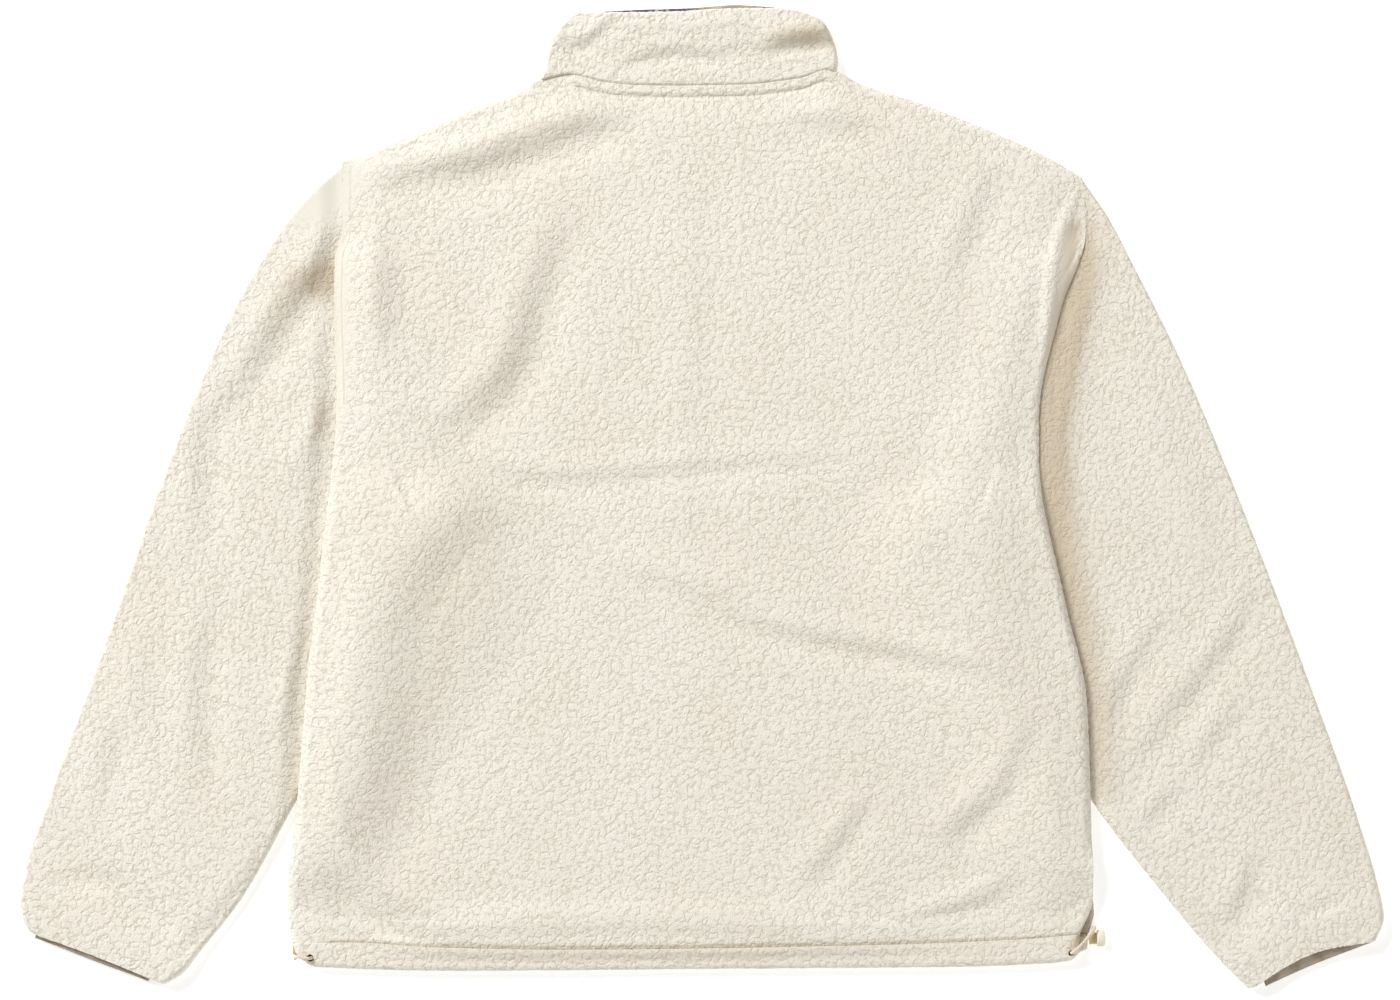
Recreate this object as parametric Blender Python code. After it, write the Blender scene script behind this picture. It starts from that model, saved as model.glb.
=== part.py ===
"""A sherpa fleece pullover laid flat on its front: every piece of cloth is a wall of its own thickness.

Lengths in the tables are in millimetres, and the meshes are in metres. The garment lies on z = 0 with
its collar towards +Y. Left and right are those of someone who looks down on its back.
"""

import math
from collections import namedtuple

import bmesh
import bpy
from mathutils import Vector

MM = 0.001
WALL = 4.0  # fleece with its pile
SEAM_GAP = 0.5  # between pieces that are sewn edge to edge
LAYER_GAP = 0.6  # between cloth that lies on cloth
REST_GAP = 0.3  # between an edge and the sleeve under it
FLAT_TUBE = 2 * WALL + LAYER_GAP  # two layers of a flattened sleeve or collar
ON_SLEEVE = FLAT_TUBE + REST_GAP  # height of what lies on a sleeve
MOUTH_GAP = 3.0  # between the layers at a cuff or at the collar's top
TURN = 8.0  # width of a rounded edge where the cloth turns under
INNER_TURN = 1.2
CASING = 6.1  # thickness of a turned hem
HEM_LAYER = CASING + REST_GAP + 0.1
FACING = 0.9  # wall of the woven facing at collar and cuffs
FACING_HELD = 14.0  # how far a cuff facing reaches into its sleeve

FLEECE = (0.84, 0.80, 0.70, 1.0)
FACING_TAUPE = (0.60, 0.54, 0.47, 1.0)
CORD_CREAM = (0.78, 0.68, 0.54, 1.0)
LOCK_OCHRE = (0.45, 0.33, 0.18, 1.0)
BUTTON_CREAM = (0.85, 0.80, 0.66, 1.0)

Place = namedtuple("Place", "x y")
Fold = namedtuple("Fold", "path half_width step")
Side = namedtuple("Side", "outer armhole inner cuff mouth_bow facing_shows")

# Outlines, seen from above.
HEM_SEAM = [Place(-308.6, -332.6), Place(-262, -332.6), Place(-200, -336.2), Place(-107, -337.9),
            Place(111, -334.9), Place(236, -330.4), Place(283.9, -326.6)]
SHOULDER_LEFT = [Place(-268.1, 252.4), Place(-242, 266.2), Place(-212, 277.8), Place(-182, 291.6),
                 Place(-152, 302.2), Place(-121.9, 314.2)]
NECK = [Place(-121.9, 314.2), Place(-99, 319.0), Place(-74, 313.4), Place(-48, 310.9), Place(-20, 310.5),
        Place(8, 310.9), Place(36, 311.5), Place(56, 313.6), Place(75, 316.4), Place(93, 322.2),
        Place(101.5, 320.6)]
SHOULDER_RIGHT = [Place(101.5, 320.6), Place(122, 311.6), Place(159, 300.0), Place(219, 276.4),
                  Place(253, 261.2), Place(270, 251.6), Place(284.6, 240.4)]
# Columns of the body between its turned edges, by where they meet the shoulders.
SHOULDER_COLUMNS = [-240, -213, -186, -160, -140] + [point.x for point in NECK] + [122, 150, 180, 210, 240, 260]
BACK_LEFT = [Place(-308.6, -332.6), Place(-311.6, -300), Place(-303.4, -225), Place(-296, -135),
             Place(-285.4, -45), Place(-274.1, 75), Place(-276, 150), Place(-275.2, 180),
             Place(-268.5, 200), Place(-268.1, 252.4)]
BACK_RIGHT = [Place(283.9, -326.6), Place(293.6, -300), Place(292.1, -225), Place(289.1, -150),
              Place(272.6, -75), Place(253.4, 30), Place(253.4, 60), Place(269.6, 142), Place(286.9, 196),
              Place(284.6, 240.4)]
HEM_EDGE = [Place(-304.1, -340.8), Place(-299.9, -345.4), Place(-289.9, -351.4), Place(-183, -354.4),
            Place(0, -353), Place(193, -351.4), Place(264, -348.4), Place(278, -346.3), Place(283.0, -342),
            Place(290.4, -338.6)]
CASING_TURN = 3.0

# How far the front lies inside the back's outline, where the back does not turn round it. The lower
# corners differ: a cord lock lies under the left one, and the back is drawn in on the right one.
FRONT_INSET = WALL + 3.0
FRONT_INSET_LEFT = [(-332.6, 15.5), (-322, 15.0), (-300, FRONT_INSET), (180, FRONT_INSET)]
FRONT_INSET_RIGHT = [(-326.6, -4.6), (-322, -6.4), (-317, -6.4), (-311, -4.0), (-303, -1.2), (-294, 0.6),
                     (-276, 4.0), (-262, FRONT_INSET), (180, FRONT_INSET)]
BACK_TURN_LEFT = [(-316, 0.0), (-292, 1.0), (176, 1.0), (196, 0.0)]
BACK_TURN_RIGHT = [(-272, 0.0), (-246, 1.0), (172, 1.0), (194, 0.0)]
# Rows of the front, as heights on its left side. The sleeves' columns start at its armhole rows.
UNDERARM_Y = -45.4
FRONT_NOTCH_Y = -118.0
ARMHOLE_ROWS = [-20, 20, 60, 100, 140, 175, 205, 235]
FRONT_ROWS = [-332.6, -318, -302, -284, -262, -238, -212, -186, -160, -138, FRONT_NOTCH_Y, -100, -82, -64,
              UNDERARM_Y] + ARMHOLE_ROWS + [252.4]

LEFT = Side(
    outer=[Place(-269.2, 252.4), Place(-299, 224.6), Place(-321.4, 194.6), Place(-355.9, 134.6),
           Place(-400, 29.6), Place(-447.4, -105), Place(-491.6, -225), Place(-508.9, -278),
           Place(-512.6, -300), Place(-510.4, -314), Place(-504.4, -325.1)],
    armhole=[Place(-269.2, 252.4), Place(-269.2, 199), Place(-264.4, 150), Place(-251, 75),
             Place(-225.4, 7), Place(-196.9, UNDERARM_Y)],
    inner=[Place(-196.9, UNDERARM_Y), Place(-303.4, -225.4), Place(-345, -300), Place(-374.6, -338),
           Place(-391, -358), Place(-402, -364.2)],
    cuff=[Place(-504.4, -325.1), Place(-422, -357), Place(-402, -364.2)],
    mouth_bow=2.5,
    facing_shows=(3.0, 3.0, 3.0),
)
RIGHT = Side(
    outer=[Place(285.8, 240.4), Place(306.4, 209.6), Place(322.1, 179.6), Place(359.6, 104.6),
           Place(409.9, -15.4), Place(461, -150), Place(493.1, -240), Place(510.4, -300),
           Place(512.6, -314), Place(506.6, -331.1)],
    armhole=[Place(285.8, 240.4), Place(287.8, 200), Place(279, 182), Place(258, 142), Place(238, 75),
             Place(216, 7), Place(193.1, -48.2)],
    inner=[Place(193.1, -48.2), Place(292.1, -225.4), Place(349, -300), Place(377.6, -334),
           Place(396.4, -354.4), Place(410.6, -367.9)],
    cuff=[Place(506.6, -331.1), Place(450, -352), Place(410.6, -367.9)],
    mouth_bow=9.0,
    facing_shows=(0.8, 1.6, 3.0),
)

COLLAR_LEFT = [Place(-121.9, 314.2 + SEAM_GAP), Place(-119.0, 322.9), Place(-114.5, 342.4),
               Place(-108.2, 354.2), Place(-96.4, 364.8)]
COLLAR_RIGHT = [Place(101.5, 320.6 + SEAM_GAP), Place(103.1, 327.4), Place(102.2, 334.1),
                Place(98.4, 346.0), Place(91.8, 358.2), Place(77.6, 365.4)]
COLLAR_TOP = [Place(-96.4, 364.8), Place(-23, 365.6), Place(26, 368), Place(55, 368.2), Place(77.6, 365.4)]

# Soft ridges and hollows along paths of x, y and height. A step is high on the left of its path and low on
# its right. The puff is what they rise from or sink in.
BACK_PUFF = 3.2
BACK_FOLDS = [
    Fold([(-264, 238, 0), (-219, 246, 2.4), (-167, 252, 3.6), (-122, 268, 3.2), (-84, 280, 3.8),
          (-47, 286, 0)], 18, True),
    Fold([(-208, 51, 0), (-174, 66, 2.2), (-144, 96, 3.2), (-129, 138, 2.6), (-114, 183, 1.8),
          (-96, 225, 0)], 19.5, True),
    Fold([(-248, -285, 0), (-243, -225, 2.2), (-233, -165, 3), (-225, -113, 3.4), (-210, -68, 3),
          (-180, -23, 3.2), (-148, 18, 0)], 24.5, True),
    Fold([(-77, -50, 0), (-17, -66, 0.8), (36, -92, 1.8), (111, -109, 2.4), (186, -123, 1.8),
          (253, -141, 0)], 16, True),
    Fold([(58, 288, 0), (96, 282, 2.4), (137, 276, 0)], 16, True),
    Fold([(178, -263, 0), (197, -242, 2.3), (223, -218, 1.9), (240, -180, 1.3), (253, -150, 0)], 16, True),
    Fold([(189, 161, 0), (197, 195, 1.4), (212, 232, 1.2), (223, 255, 0)], 16, True),
    Fold([(246, -173, 0), (238, -105, 1.7), (231, -30, 1.9), (223, 22, 1.3), (231, 75, 0)], 34, True),
    Fold([(-238, 93, 0), (-236, 135, 1.7), (-238, 180, 1.7), (-242, 213, 0)], 18, True),
    Fold([(152, 97, 0), (163, 22, 1.7), (171, -53, 0)], 52, False),
]
EDGE_FOLDS = [
    Fold([(254, 60, 0), (259, 120, 2.2), (261, 160, 3), (268, 196, 3), (284, 232, 1)], 12, False),
    Fold([(-231, -323, 0), (-197, -319, 2.4), (-137, -316, 3.4), (-47, -315, 3), (43, -316, 3.3),
          (118, -319, 2), (201, -323, 0)], 14.5, False),
    Fold([(-276, -218, 0), (-266, -259, 2), (-236, -293, 3.2), (-189, -312, 0)], 12, False),
    Fold([(-291, -263, 0), (-275, -291, -2.4), (-252, -314, -3.4), (-227, -327, -2.4),
          (-197, -333, 0)], 12, False),
]
LOCK_LIFT = Fold([(-304, -337, 2.4), (-300, -337, 2.4)], 17, False)
STEP_GAIN = 2.33  # makes the top and foot of a step as far from the puff as its height says
SLEEVE_PUFF = 3.0
SLEEVE_FOLDS = [
    Fold([(-366, 52, 0), (-336, 101, 2.2), (-309, 142, 2.8), (-288, 168, 3.2), (-276, 178, 1.6)], 17, True),
    Fold([(-373, -229, 0), (-377, -180, 1.5), (-377, -120, 1.5), (-366, -60, 0)], 16, True),
    Fold([(-373, -45, 0), (-377, 0, 1.7), (-373, 52, 1.3), (-354, 82, 0)], 16, True),
    Fold([(-452, -252, 0), (-446, -195, 1.3), (-433, -150, 0)], 16, True),
    Fold([(-414, -75, 0), (-429, -143, 1.6), (-414, -210, 0)], 16, False),
    Fold([(-493, -289, 0), (-463, -287, -2), (-437, -291, -2.4), (-407, -319, -1.7),
          (-392, -330, 0)], 16, False),
    Fold([(-321, -248, 0), (-334, -278, -2.2), (-353, -304, -2.4), (-373, -327, -2),
          (-398, -347, 0)], 16, False),
    Fold([(321, 127, 0), (336, 60, 2), (366, -15, 1.4), (381, -75, 0)], 18, False),
    Fold([(448, -210, 0), (471, -263, 1.5), (482, -293, 0)], 16, False),
]
COLLAR_PUFF = 2.2
COLLAR_FOLDS = [
    Fold([(43, 336, 0), (62, 341, 3), (84, 345, 3.6), (102, 341, 0)], 9, True),
    Fold([(-107, 337, 0), (-88, 343, 1.4), (-73, 354, 1.2), (-62, 363, 0)], 8, True),
    Fold([(-69, 322, 0), (-47, 331, 1.1), (-17, 336, 1.4), (13, 333, 1), (32, 342, 0)], 8, True),
    Fold([(-84, 360, 0), (-39, 355, 1.2), (13, 357, 1.2), (58, 358, 0)], 8, False),
]

# Cord and cord lock at each lower corner. A route runs from inside the hole in the hem to inside the lock.
CORD_RADIUS = 1.2
CORD_STEPS = 4  # points on the smooth curve from one place of a route to the next
HOLE_DEPTH = 5.1
LOCK_BORE = 1.5
BARREL = (5.0, 9.6)  # across, and along the cord
BUTTON = (6.6, 13.0)
Corner = namedtuple("Corner", "hole hole_radius route barrel lock_height")
LEFT_CORNER = Corner(
    hole=Place(-293.2, -344.0), hole_radius=2.6,
    route=[(-292.3, -343.9, 9.8), (-292.3, -343.9, 14.6), (-294.4, -343.9, 17.1), (-298.0, -343.3, 17.0),
           (-301.8, -342.8, 16.6), (-304.4, -343.8, 14.0), (-305.0, -344.8, 10.6), (-305.1, -345.5, 7.2),
           (-304.8, -344.9, 4.6), (-304.6, -342.6, 3.9), (-304.6, -336.6, 3.9)],
    barrel=Place(-304.6, -338.0), lock_height=7.2,
)
RIGHT_CORNER = Corner(
    hole=Place(276.9, -340.7), hole_radius=2.0,
    route=[(277.3, -340.3, 8.4), (277.3, -340.3, 13.0), (278.4, -339.4, 15.2), (282.6, -335.9, 14.9),
           (287.5, -331.1, 13.2), (291.8, -325.9, 11.0), (294.8, -322.7, 8.8), (295.2, -321.6, 6.6),
           (294.4, -321.9, 5.0), (293.9, -324.4, 4.8), (293.8, -331.4, 4.8)],
    barrel=Place(293.8, -330.0), lock_height=9.0,
)


def smooth_step(value):
    """Eases from 0 to 1."""
    value = min(max(value, 0.0), 1.0)
    return value * value * (3 - 2 * value)


def curve_through(rows):
    """A smooth curve through (place, value) rows that never swings past them."""
    places = [row[0] for row in rows]
    values = [row[1] for row in rows]
    slopes = [(values[i + 1] - values[i]) / (places[i + 1] - places[i]) for i in range(len(rows) - 1)]
    tangents = [slopes[0]]
    for before, after in zip(slopes, slopes[1:]):
        tangents.append(2 * before * after / (before + after) if before * after > 0 else 0.0)
    tangents.append(slopes[-1])

    def value_at(place):
        place = min(max(place, places[0]), places[-1])
        index = max(i for i in range(len(slopes)) if places[i] <= place)
        step = places[index + 1] - places[index]
        t = (place - places[index]) / step
        start = (1 + 2 * t) * (1 - t) ** 2 * values[index] + t * (1 - t) ** 2 * step * tangents[index]
        end = t * t * (3 - 2 * t) * values[index + 1] - t * t * (1 - t) * step * tangents[index + 1]
        return start + end

    return value_at


def smooth_route(places, steps):
    """Points on a smooth curve through a route's own places."""
    ends = [places[0]] + list(places) + [places[-1]]
    route = []
    for before, start, end, after in zip(ends, ends[1:], ends[2:], ends[3:]):
        before, start, end, after = map(Vector, (before, start, end, after))
        for index in range(steps):
            t = index / steps
            bend = (2 * before - 5 * start + 4 * end - after) * t * t
            twist = (3 * (start - end) + after - before) * t * t * t
            route.append(start + ((end - before) * t + bend + twist) / 2)
    return route + [Vector(places[-1])]


def side_edge(points, inset=None, sign=1):
    """An edge that runs up the garment, as a function of 0 at its lower end to 1 at its upper one."""
    curve = curve_through([(point.y, point.x) for point in points])
    inner = curve_through(inset) if inset else lambda y: 0.0
    low, high = points[0].y, points[-1].y

    def edge(v):
        y = low + (high - low) * v
        return Vector((curve(y) + sign * inner(y), y))

    return edge


def cross_edge(points, shift=lambda x: 0.0, low=None, high=None):
    """An edge that runs from left to right, or the stretch of it between two places."""
    curve = curve_through([(point.x, point.y) for point in points])
    low = points[0].x if low is None else low
    high = points[-1].x if high is None else high

    def edge(u):
        x = low + (high - low) * u
        return Vector((x, curve(x) + shift(x)))

    return edge


def raised(height):
    """The same shift all along an edge."""
    return lambda x: height


def free_edge(points):
    """An edge in any direction, measured along its own length."""
    lengths = [0.0]
    for start, end in zip(points, points[1:]):
        lengths.append(lengths[-1] + math.dist(start, end))
    across = curve_through([(length / lengths[-1], point.x) for length, point in zip(lengths, points)])
    along = curve_through([(length / lengths[-1], point.y) for length, point in zip(lengths, points)])
    return lambda t: Vector((across(t), along(t)))


class Patch:
    """A four-sided stretch of cloth: u runs from left to right and v from bottom to top."""

    def __init__(self, left, right, bottom, top):
        self.left, self.right, self.bottom, self.top = left, right, bottom, top

    def at(self, u, v):
        """The place at u, v."""
        edges = (1 - u) * self.left(v) + u * self.right(v) + (1 - v) * self.bottom(u) + v * self.top(u)
        low = (1 - u) * self.left(0) + u * self.right(0)
        high = (1 - u) * self.left(1) + u * self.right(1)
        return edges - (1 - v) * low - v * high

    def width(self, v):
        """Length across the patch at v."""
        return (self.right(v) - self.left(v)).length

    def height(self, u):
        """Length up the patch at u."""
        return (self.top(u) - self.bottom(u)).length


def spaced(length, near, between, start=0.0, finish=0.0):
    """Fractions of a length: the near steps at both ends, and between them those given or as many even ones."""
    first = [(start + step) / length for step in near]
    last = [1 - (finish + step) / length for step in reversed(near)]
    if isinstance(between, int):
        gap = (last[0] - first[-1]) / (between + 1)
        between = [first[-1] + gap * (index + 1) for index in range(between)]
    return first + between + last


def fractions(places, start, end):
    """Places along a stretch as fractions of it."""
    return [(place - start) / (end - start) for place in places]


def distance_to(point, line):
    """Distance from a point to a line of places."""
    best = math.inf
    for start, end in zip(line, line[1:]):
        stretch = Vector(end) - Vector(start)
        along = (point - Vector(start)).dot(stretch) / max(stretch.length_squared, 1e-9)
        nearest = Vector(start) + min(max(along, 0.0), 1.0) * stretch
        best = min(best, (point - nearest).length)
    return best


def inside(point, outline):
    """Whether a point lies in a closed outline."""
    found = False
    for start, end in zip(outline, outline[1:] + outline[:1]):
        if (start[1] > point.y) != (end[1] > point.y):
            crossing = start[0] + (point.y - start[1]) / (end[1] - start[1]) * (end[0] - start[0])
            found ^= point.x < crossing
    return found


def fold_height(point, folds):
    """Sum of the soft ridges, hollows and steps at a point."""
    total = 0.0
    for fold in folds:
        away, side, height = math.inf, 0.0, 0.0
        for start, end in zip(fold.path, fold.path[1:]):
            across, up = end[0] - start[0], end[1] - start[1]
            x, y = point[0] - start[0], point[1] - start[1]
            along = min(max((x * across + y * up) / (across * across + up * up), 0.0), 1.0)
            gap = math.hypot(x - along * across, y - along * up)
            if gap < away:
                away = gap
                side = math.copysign(1.0, across * y - up * x)
                height = start[2] + along * (end[2] - start[2])
        share = away / fold.half_width
        total += height * math.exp(-share * share) * (STEP_GAIN * side * share if fold.step else 1.0)
    return total


def beyond(point, side, line, full, none):
    """1 on the sleeve and out to full from its line, easing to 0 at none."""
    if inside(point, side.outer + side.cuff + side.inner[::-1] + side.armhole[::-1]):
        return 1.0
    return smooth_step((none - distance_to(point, line)) / (none - full))


def over_sleeve(point):
    """1 over the lower edge of a sleeve and a little past it, easing to 0."""
    return max(beyond(point, side, side.inner, 17, 38) for side in (LEFT, RIGHT))


def front_lift(point):
    """How far a sleeve under it lifts the front."""
    return ON_SLEEVE * over_sleeve(point) * smooth_step((UNDERARM_Y + 32 - point.y) / 28)


def back_lift(point):
    """How far the sleeves, and the front where it lies on them, lift the back."""
    fade = smooth_step((UNDERARM_Y + 80 - point.y) / 45) * smooth_step((point.y + 318) / 44)
    low = fade * max(beyond(point, side, side.inner, 20, 92) for side in (LEFT, RIGHT))
    high = max(beyond(point, side, side.armhole[1:], 14, 62) for side in (LEFT, RIGHT))
    return ON_SLEEVE * low + (ON_SLEEVE - WALL - LAYER_GAP) * high * (1 - low)


BODY_OUTLINE = BACK_LEFT + SHOULDER_LEFT[1:] + SHOULDER_RIGHT + BACK_RIGHT[::-1] + HEM_SEAM[::-1]


def back_underside(point, from_edge):
    """Height of the back's inner face."""
    ease = smooth_step(from_edge / 34)
    puff = max(BACK_PUFF + fold_height(point, BACK_FOLDS), 0.0) * ease
    hem = 3.0 * smooth_step((-296 - point.y) / 26)
    edge = fold_height(point, EDGE_FOLDS) * smooth_step(from_edge / 7)
    raised = max(max(puff, hem) + edge, 0.0)
    return WALL + LAYER_GAP + back_lift(point) + raised + fold_height(point, [LOCK_LIFT])


def sleeve_relief(point):
    """Height of a sleeve's folds, which fade before the body that lies on it."""
    if inside(point, BODY_OUTLINE):
        return 0.0
    clear = smooth_step((distance_to(point, BODY_OUTLINE) - 10) / 30)
    return max(SLEEVE_PUFF + fold_height(point, SLEEVE_FOLDS), 0.0) * clear


def collar_relief(point):
    """Height of the collar's folds."""
    return max(COLLAR_PUFF + fold_height(point, COLLAR_FOLDS), 0.0)


def lying_flat(point):
    """No relief."""
    return 0.0


def arc_fall(distance, turn):
    """Share of the height lost at a distance from a rounded edge."""
    if distance >= turn:
        return 0.0
    return 1 - math.sqrt(max(1 - (1 - distance / turn) ** 2, 0.0))


def add_object(name, mesh, material):
    """Puts a finished bmesh in the garment's collection, in metres."""
    bmesh.ops.recalc_face_normals(mesh, faces=mesh.faces)
    data = bpy.data.meshes.new(name)
    mesh.to_mesh(data)
    mesh.free()
    data.shade_smooth()
    data.set_sharp_from_angle(angle=math.radians(50))
    data.materials.append(material)
    piece = bpy.data.objects.new(name, data)
    garment.objects.link(piece)
    return piece


def grid_of(mesh, columns, rows, point_at):
    """A grid of cloth: point_at gives each crossing of a column and a row its place in millimetres."""
    made = bmesh.ops.create_grid(mesh, x_segments=columns - 1, y_segments=rows - 1, size=0.5)
    for vertex in made["verts"]:
        column = round((vertex.co.x + 0.5) * (columns - 1))
        row = round((vertex.co.y + 0.5) * (rows - 1))
        vertex.co = Vector(point_at(column, row)) * MM


def add_panel(name, columns, rows, upper, lower, material):
    """A flat piece of cloth: its upper and its lower face, bridged round the rim."""
    mesh = bmesh.new()
    grid_of(mesh, columns, rows, upper)
    grid_of(mesh, columns, rows, lower)
    rims = [edge for edge in mesh.edges if edge.is_boundary]
    bmesh.ops.bridge_loops(mesh, edges=rims)
    return add_object(name, mesh, material)


ROUND_STEPS = [1 - math.cos(math.radians(angle)) for angle in (0, 32, 60, 90)]
ROUND_RISE = [math.sin(math.radians(angle)) for angle in (0, 32, 60, 90)]


def add_tube(name, patch, columns, rows, wall, base, gap, relief, bow, material):
    """A flattened tube of cloth, open at both ends: its lower layer is flat and its upper one has folds.

    base is the height of its underside, gap the space between its layers by v, and bow how far the
    upper layer's far end stays back by u.
    """
    across = 2 * len(ROUND_STEPS) + (columns if isinstance(columns, int) else len(columns))

    def layer_point(step, v, inner):
        upper = step < across
        place = step if upper else 2 * (across - 1) - step
        middle = wall + gap(v) / 2
        turn = 0.4 if inner else middle
        inset = wall if inner else 0.0
        width = patch.width(v)
        u = spaced(width, [turn * share for share in ROUND_STEPS], columns, inset, inset)[place]
        end = min(place, across - 1 - place)
        rise = ROUND_RISE[end] if end < len(ROUND_RISE) else 1.0
        if upper:
            v = v * (1 - bow(u) / patch.height(u))
        point = patch.at(u, v)
        reach = gap(v) / 2 + (0 if inner else wall)
        height = middle + rise * (reach + relief(point)) if upper else middle - rise * reach
        return (point.x, point.y, base + height)

    def point_at(column, row):
        row = row % (2 * rows)
        inner = row >= rows
        along = (2 * rows - 1 - row if inner else row) / (rows - 1)
        return layer_point(column % (2 * across - 2), along, inner)

    mesh = bmesh.new()
    grid_of(mesh, 2 * across - 1, 2 * rows + 1, point_at)
    bmesh.ops.remove_doubles(mesh, verts=mesh.verts, dist=1e-6)
    return add_object(name, mesh, material)


def make_material(name, colour, roughness):
    """A plain finish for one kind of piece."""
    material = bpy.data.materials.new(name)
    material.use_nodes = True
    shader = material.node_tree.nodes["Principled BSDF"]
    shader.inputs["Base Color"].default_value = colour
    shader.inputs["Roughness"].default_value = roughness
    return material


BODY_TOP = SHOULDER_LEFT + NECK[1:] + SHOULDER_RIGHT[1:]
BODY_COLUMNS = fractions(SHOULDER_COLUMNS, BODY_TOP[0].x, BODY_TOP[-1].x)
BODY_LEVELS = (FRONT_ROWS[0], FRONT_ROWS[-1])
SLEEVE_COLUMNS = fractions(ARMHOLE_ROWS[::-1], FRONT_ROWS[-1], UNDERARM_Y)
BACK_ROWS = 20
BACK_PATCH = Patch(
    side_edge(BACK_LEFT), side_edge(BACK_RIGHT), cross_edge(HEM_SEAM, raised(SEAM_GAP)), cross_edge(BODY_TOP)
)
EDGE_STEPS = [0.0, 1.1, 3.6, 8.0]
INNER_STEPS = [0.0, 0.4, INNER_TURN, 5.0]


def at_shoulder(x):
    """1 along the shoulders, 0 along the neck seam and at the armholes."""
    neck = smooth_step((x - NECK[0].x + 14) / 10) * smooth_step((NECK[-1].x + 14 - x) / 10)
    ends = smooth_step((x - BACK_LEFT[-1].x) / 26) * smooth_step((BACK_RIGHT[-1].x - x) / 26)
    return (1 - neck) * ends


def back_turns(u, v):
    """How fully the back turns under at its left, right, lower and upper edge: 0 to 1 each."""
    left = curve_through(BACK_TURN_LEFT)(BACK_PATCH.left(v).y)
    right = curve_through(BACK_TURN_RIGHT)(BACK_PATCH.right(v).y)
    return left, right, 0.0, at_shoulder(BACK_PATCH.top(u).x)


def back_face(column, row, lower):
    """A point of the back's outer or inner face."""
    turns = back_turns(
        spaced(BACK_PATCH.width(1), EDGE_STEPS, BODY_COLUMNS)[column],
        spaced(BACK_PATCH.height(0.5), EDGE_STEPS, BACK_ROWS)[row],
    )
    steps = INNER_STEPS if lower else EDGE_STEPS
    inset = [WALL * turn if lower else 0.0 for turn in turns]
    width, height = BACK_PATCH.width(0.5), BACK_PATCH.height(0.5)
    u = spaced(width, steps, BODY_COLUMNS, inset[0], inset[1])[column]
    v = spaced(height, steps, BACK_ROWS, inset[2], inset[3])[row]
    point = BACK_PATCH.at(u, v)
    edges = (u * width, (1 - u) * width, v * height, (1 - v) * height)
    flat = back_underside(point, min(edges)) + (0 if lower else WALL)
    rim = ON_SLEEVE * over_sleeve(point)
    turn = INNER_TURN if lower else TURN
    fall = max(
        share * arc_fall(edge - start, turn) for share, edge, start in zip(turns, edges, inset)
    )
    if not lower and turns[3] < 0.5:
        flat += neck_band(edges[3])
    return (point.x, point.y, flat - fall * max(flat - rim, 0.0))


def neck_band(from_seam):
    """The seam allowance stitched down below the neck seam stands a little proud."""
    return 0.9 * smooth_step((11.0 - from_seam) / 3.5)


def make_back(material):
    """The back, its long edges turned under."""
    add_panel(
        "back", len(BODY_COLUMNS) + 2 * len(EDGE_STEPS), BACK_ROWS + 2 * len(EDGE_STEPS),
        lambda column, row: back_face(column, row, False),
        lambda column, row: back_face(column, row, True),
        material,
    )


def front_edge(body, inset, side, sign):
    """A side of the front: inside the back's edge, then across the sleeve to the armhole and up it."""
    low = side_edge(body, inset, sign)
    armhole = curve_through([(point.y, point.x) for point in reversed(side.armhole)])
    notch, underarm = fractions([FRONT_NOTCH_Y, UNDERARM_Y], *BODY_LEVELS)

    def edge(v):
        if v < notch:
            return low(v)
        y = body[0].y + (body[-1].y - body[0].y) * v
        sewn = Vector((armhole(y) + sign * SEAM_GAP, y))
        return low(v).lerp(sewn, min((v - notch) / (underarm - notch), 1.0))

    return edge


def make_front(material):
    """The front, flat on the ground but for where it crosses a sleeve."""
    def below_turn(x):
        return -(FRONT_INSET + 1.6) * at_shoulder(x)

    left = front_edge(BACK_LEFT, FRONT_INSET_LEFT, LEFT, 1)
    right = front_edge(BACK_RIGHT, FRONT_INSET_RIGHT, RIGHT, -1)
    hem = cross_edge(HEM_SEAM, raised(SEAM_GAP), left(0).x, right(0).x)
    top = cross_edge(BODY_TOP, below_turn, left(1).x, right(1).x)
    patch = Patch(left, right, hem, top)
    columns = [0.0] + BODY_COLUMNS + [1.0]
    rows = fractions(FRONT_ROWS, *BODY_LEVELS)

    def face(column, row, top):
        point = patch.at(columns[column], rows[row])
        return (point.x, point.y, front_lift(point) + (WALL if top else 0.0))

    add_panel(
        "front", len(columns), len(rows),
        lambda column, row: face(column, row, True),
        lambda column, row: face(column, row, False),
        material,
    )


def no_bow(u):
    """A straight end."""
    return 0.0


def sleeve_patch(side):
    """u runs from the outer edge to the inner one, and v from the armhole to the cuff."""
    up_armhole = side_edge(side.armhole[::-1])
    return Patch(
        free_edge(side.outer), free_edge(side.inner), lambda u: up_armhole(1 - u), free_edge(side.cuff)
    )


def make_sleeve(name, side, material):
    """A sleeve pressed flat, one layer on the other, open at armhole and cuff."""
    def gap(v):
        return LAYER_GAP + (MOUTH_GAP - LAYER_GAP) * smooth_step((v - 0.88) / 0.08)

    def bow(u):
        return side.mouth_bow * math.sin(math.pi * min(max(u, 0.0), 1.0)) ** 1.5

    add_tube(name, sleeve_patch(side), SLEEVE_COLUMNS, 21, WALL, 0.0, gap, sleeve_relief, bow, material)


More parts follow.
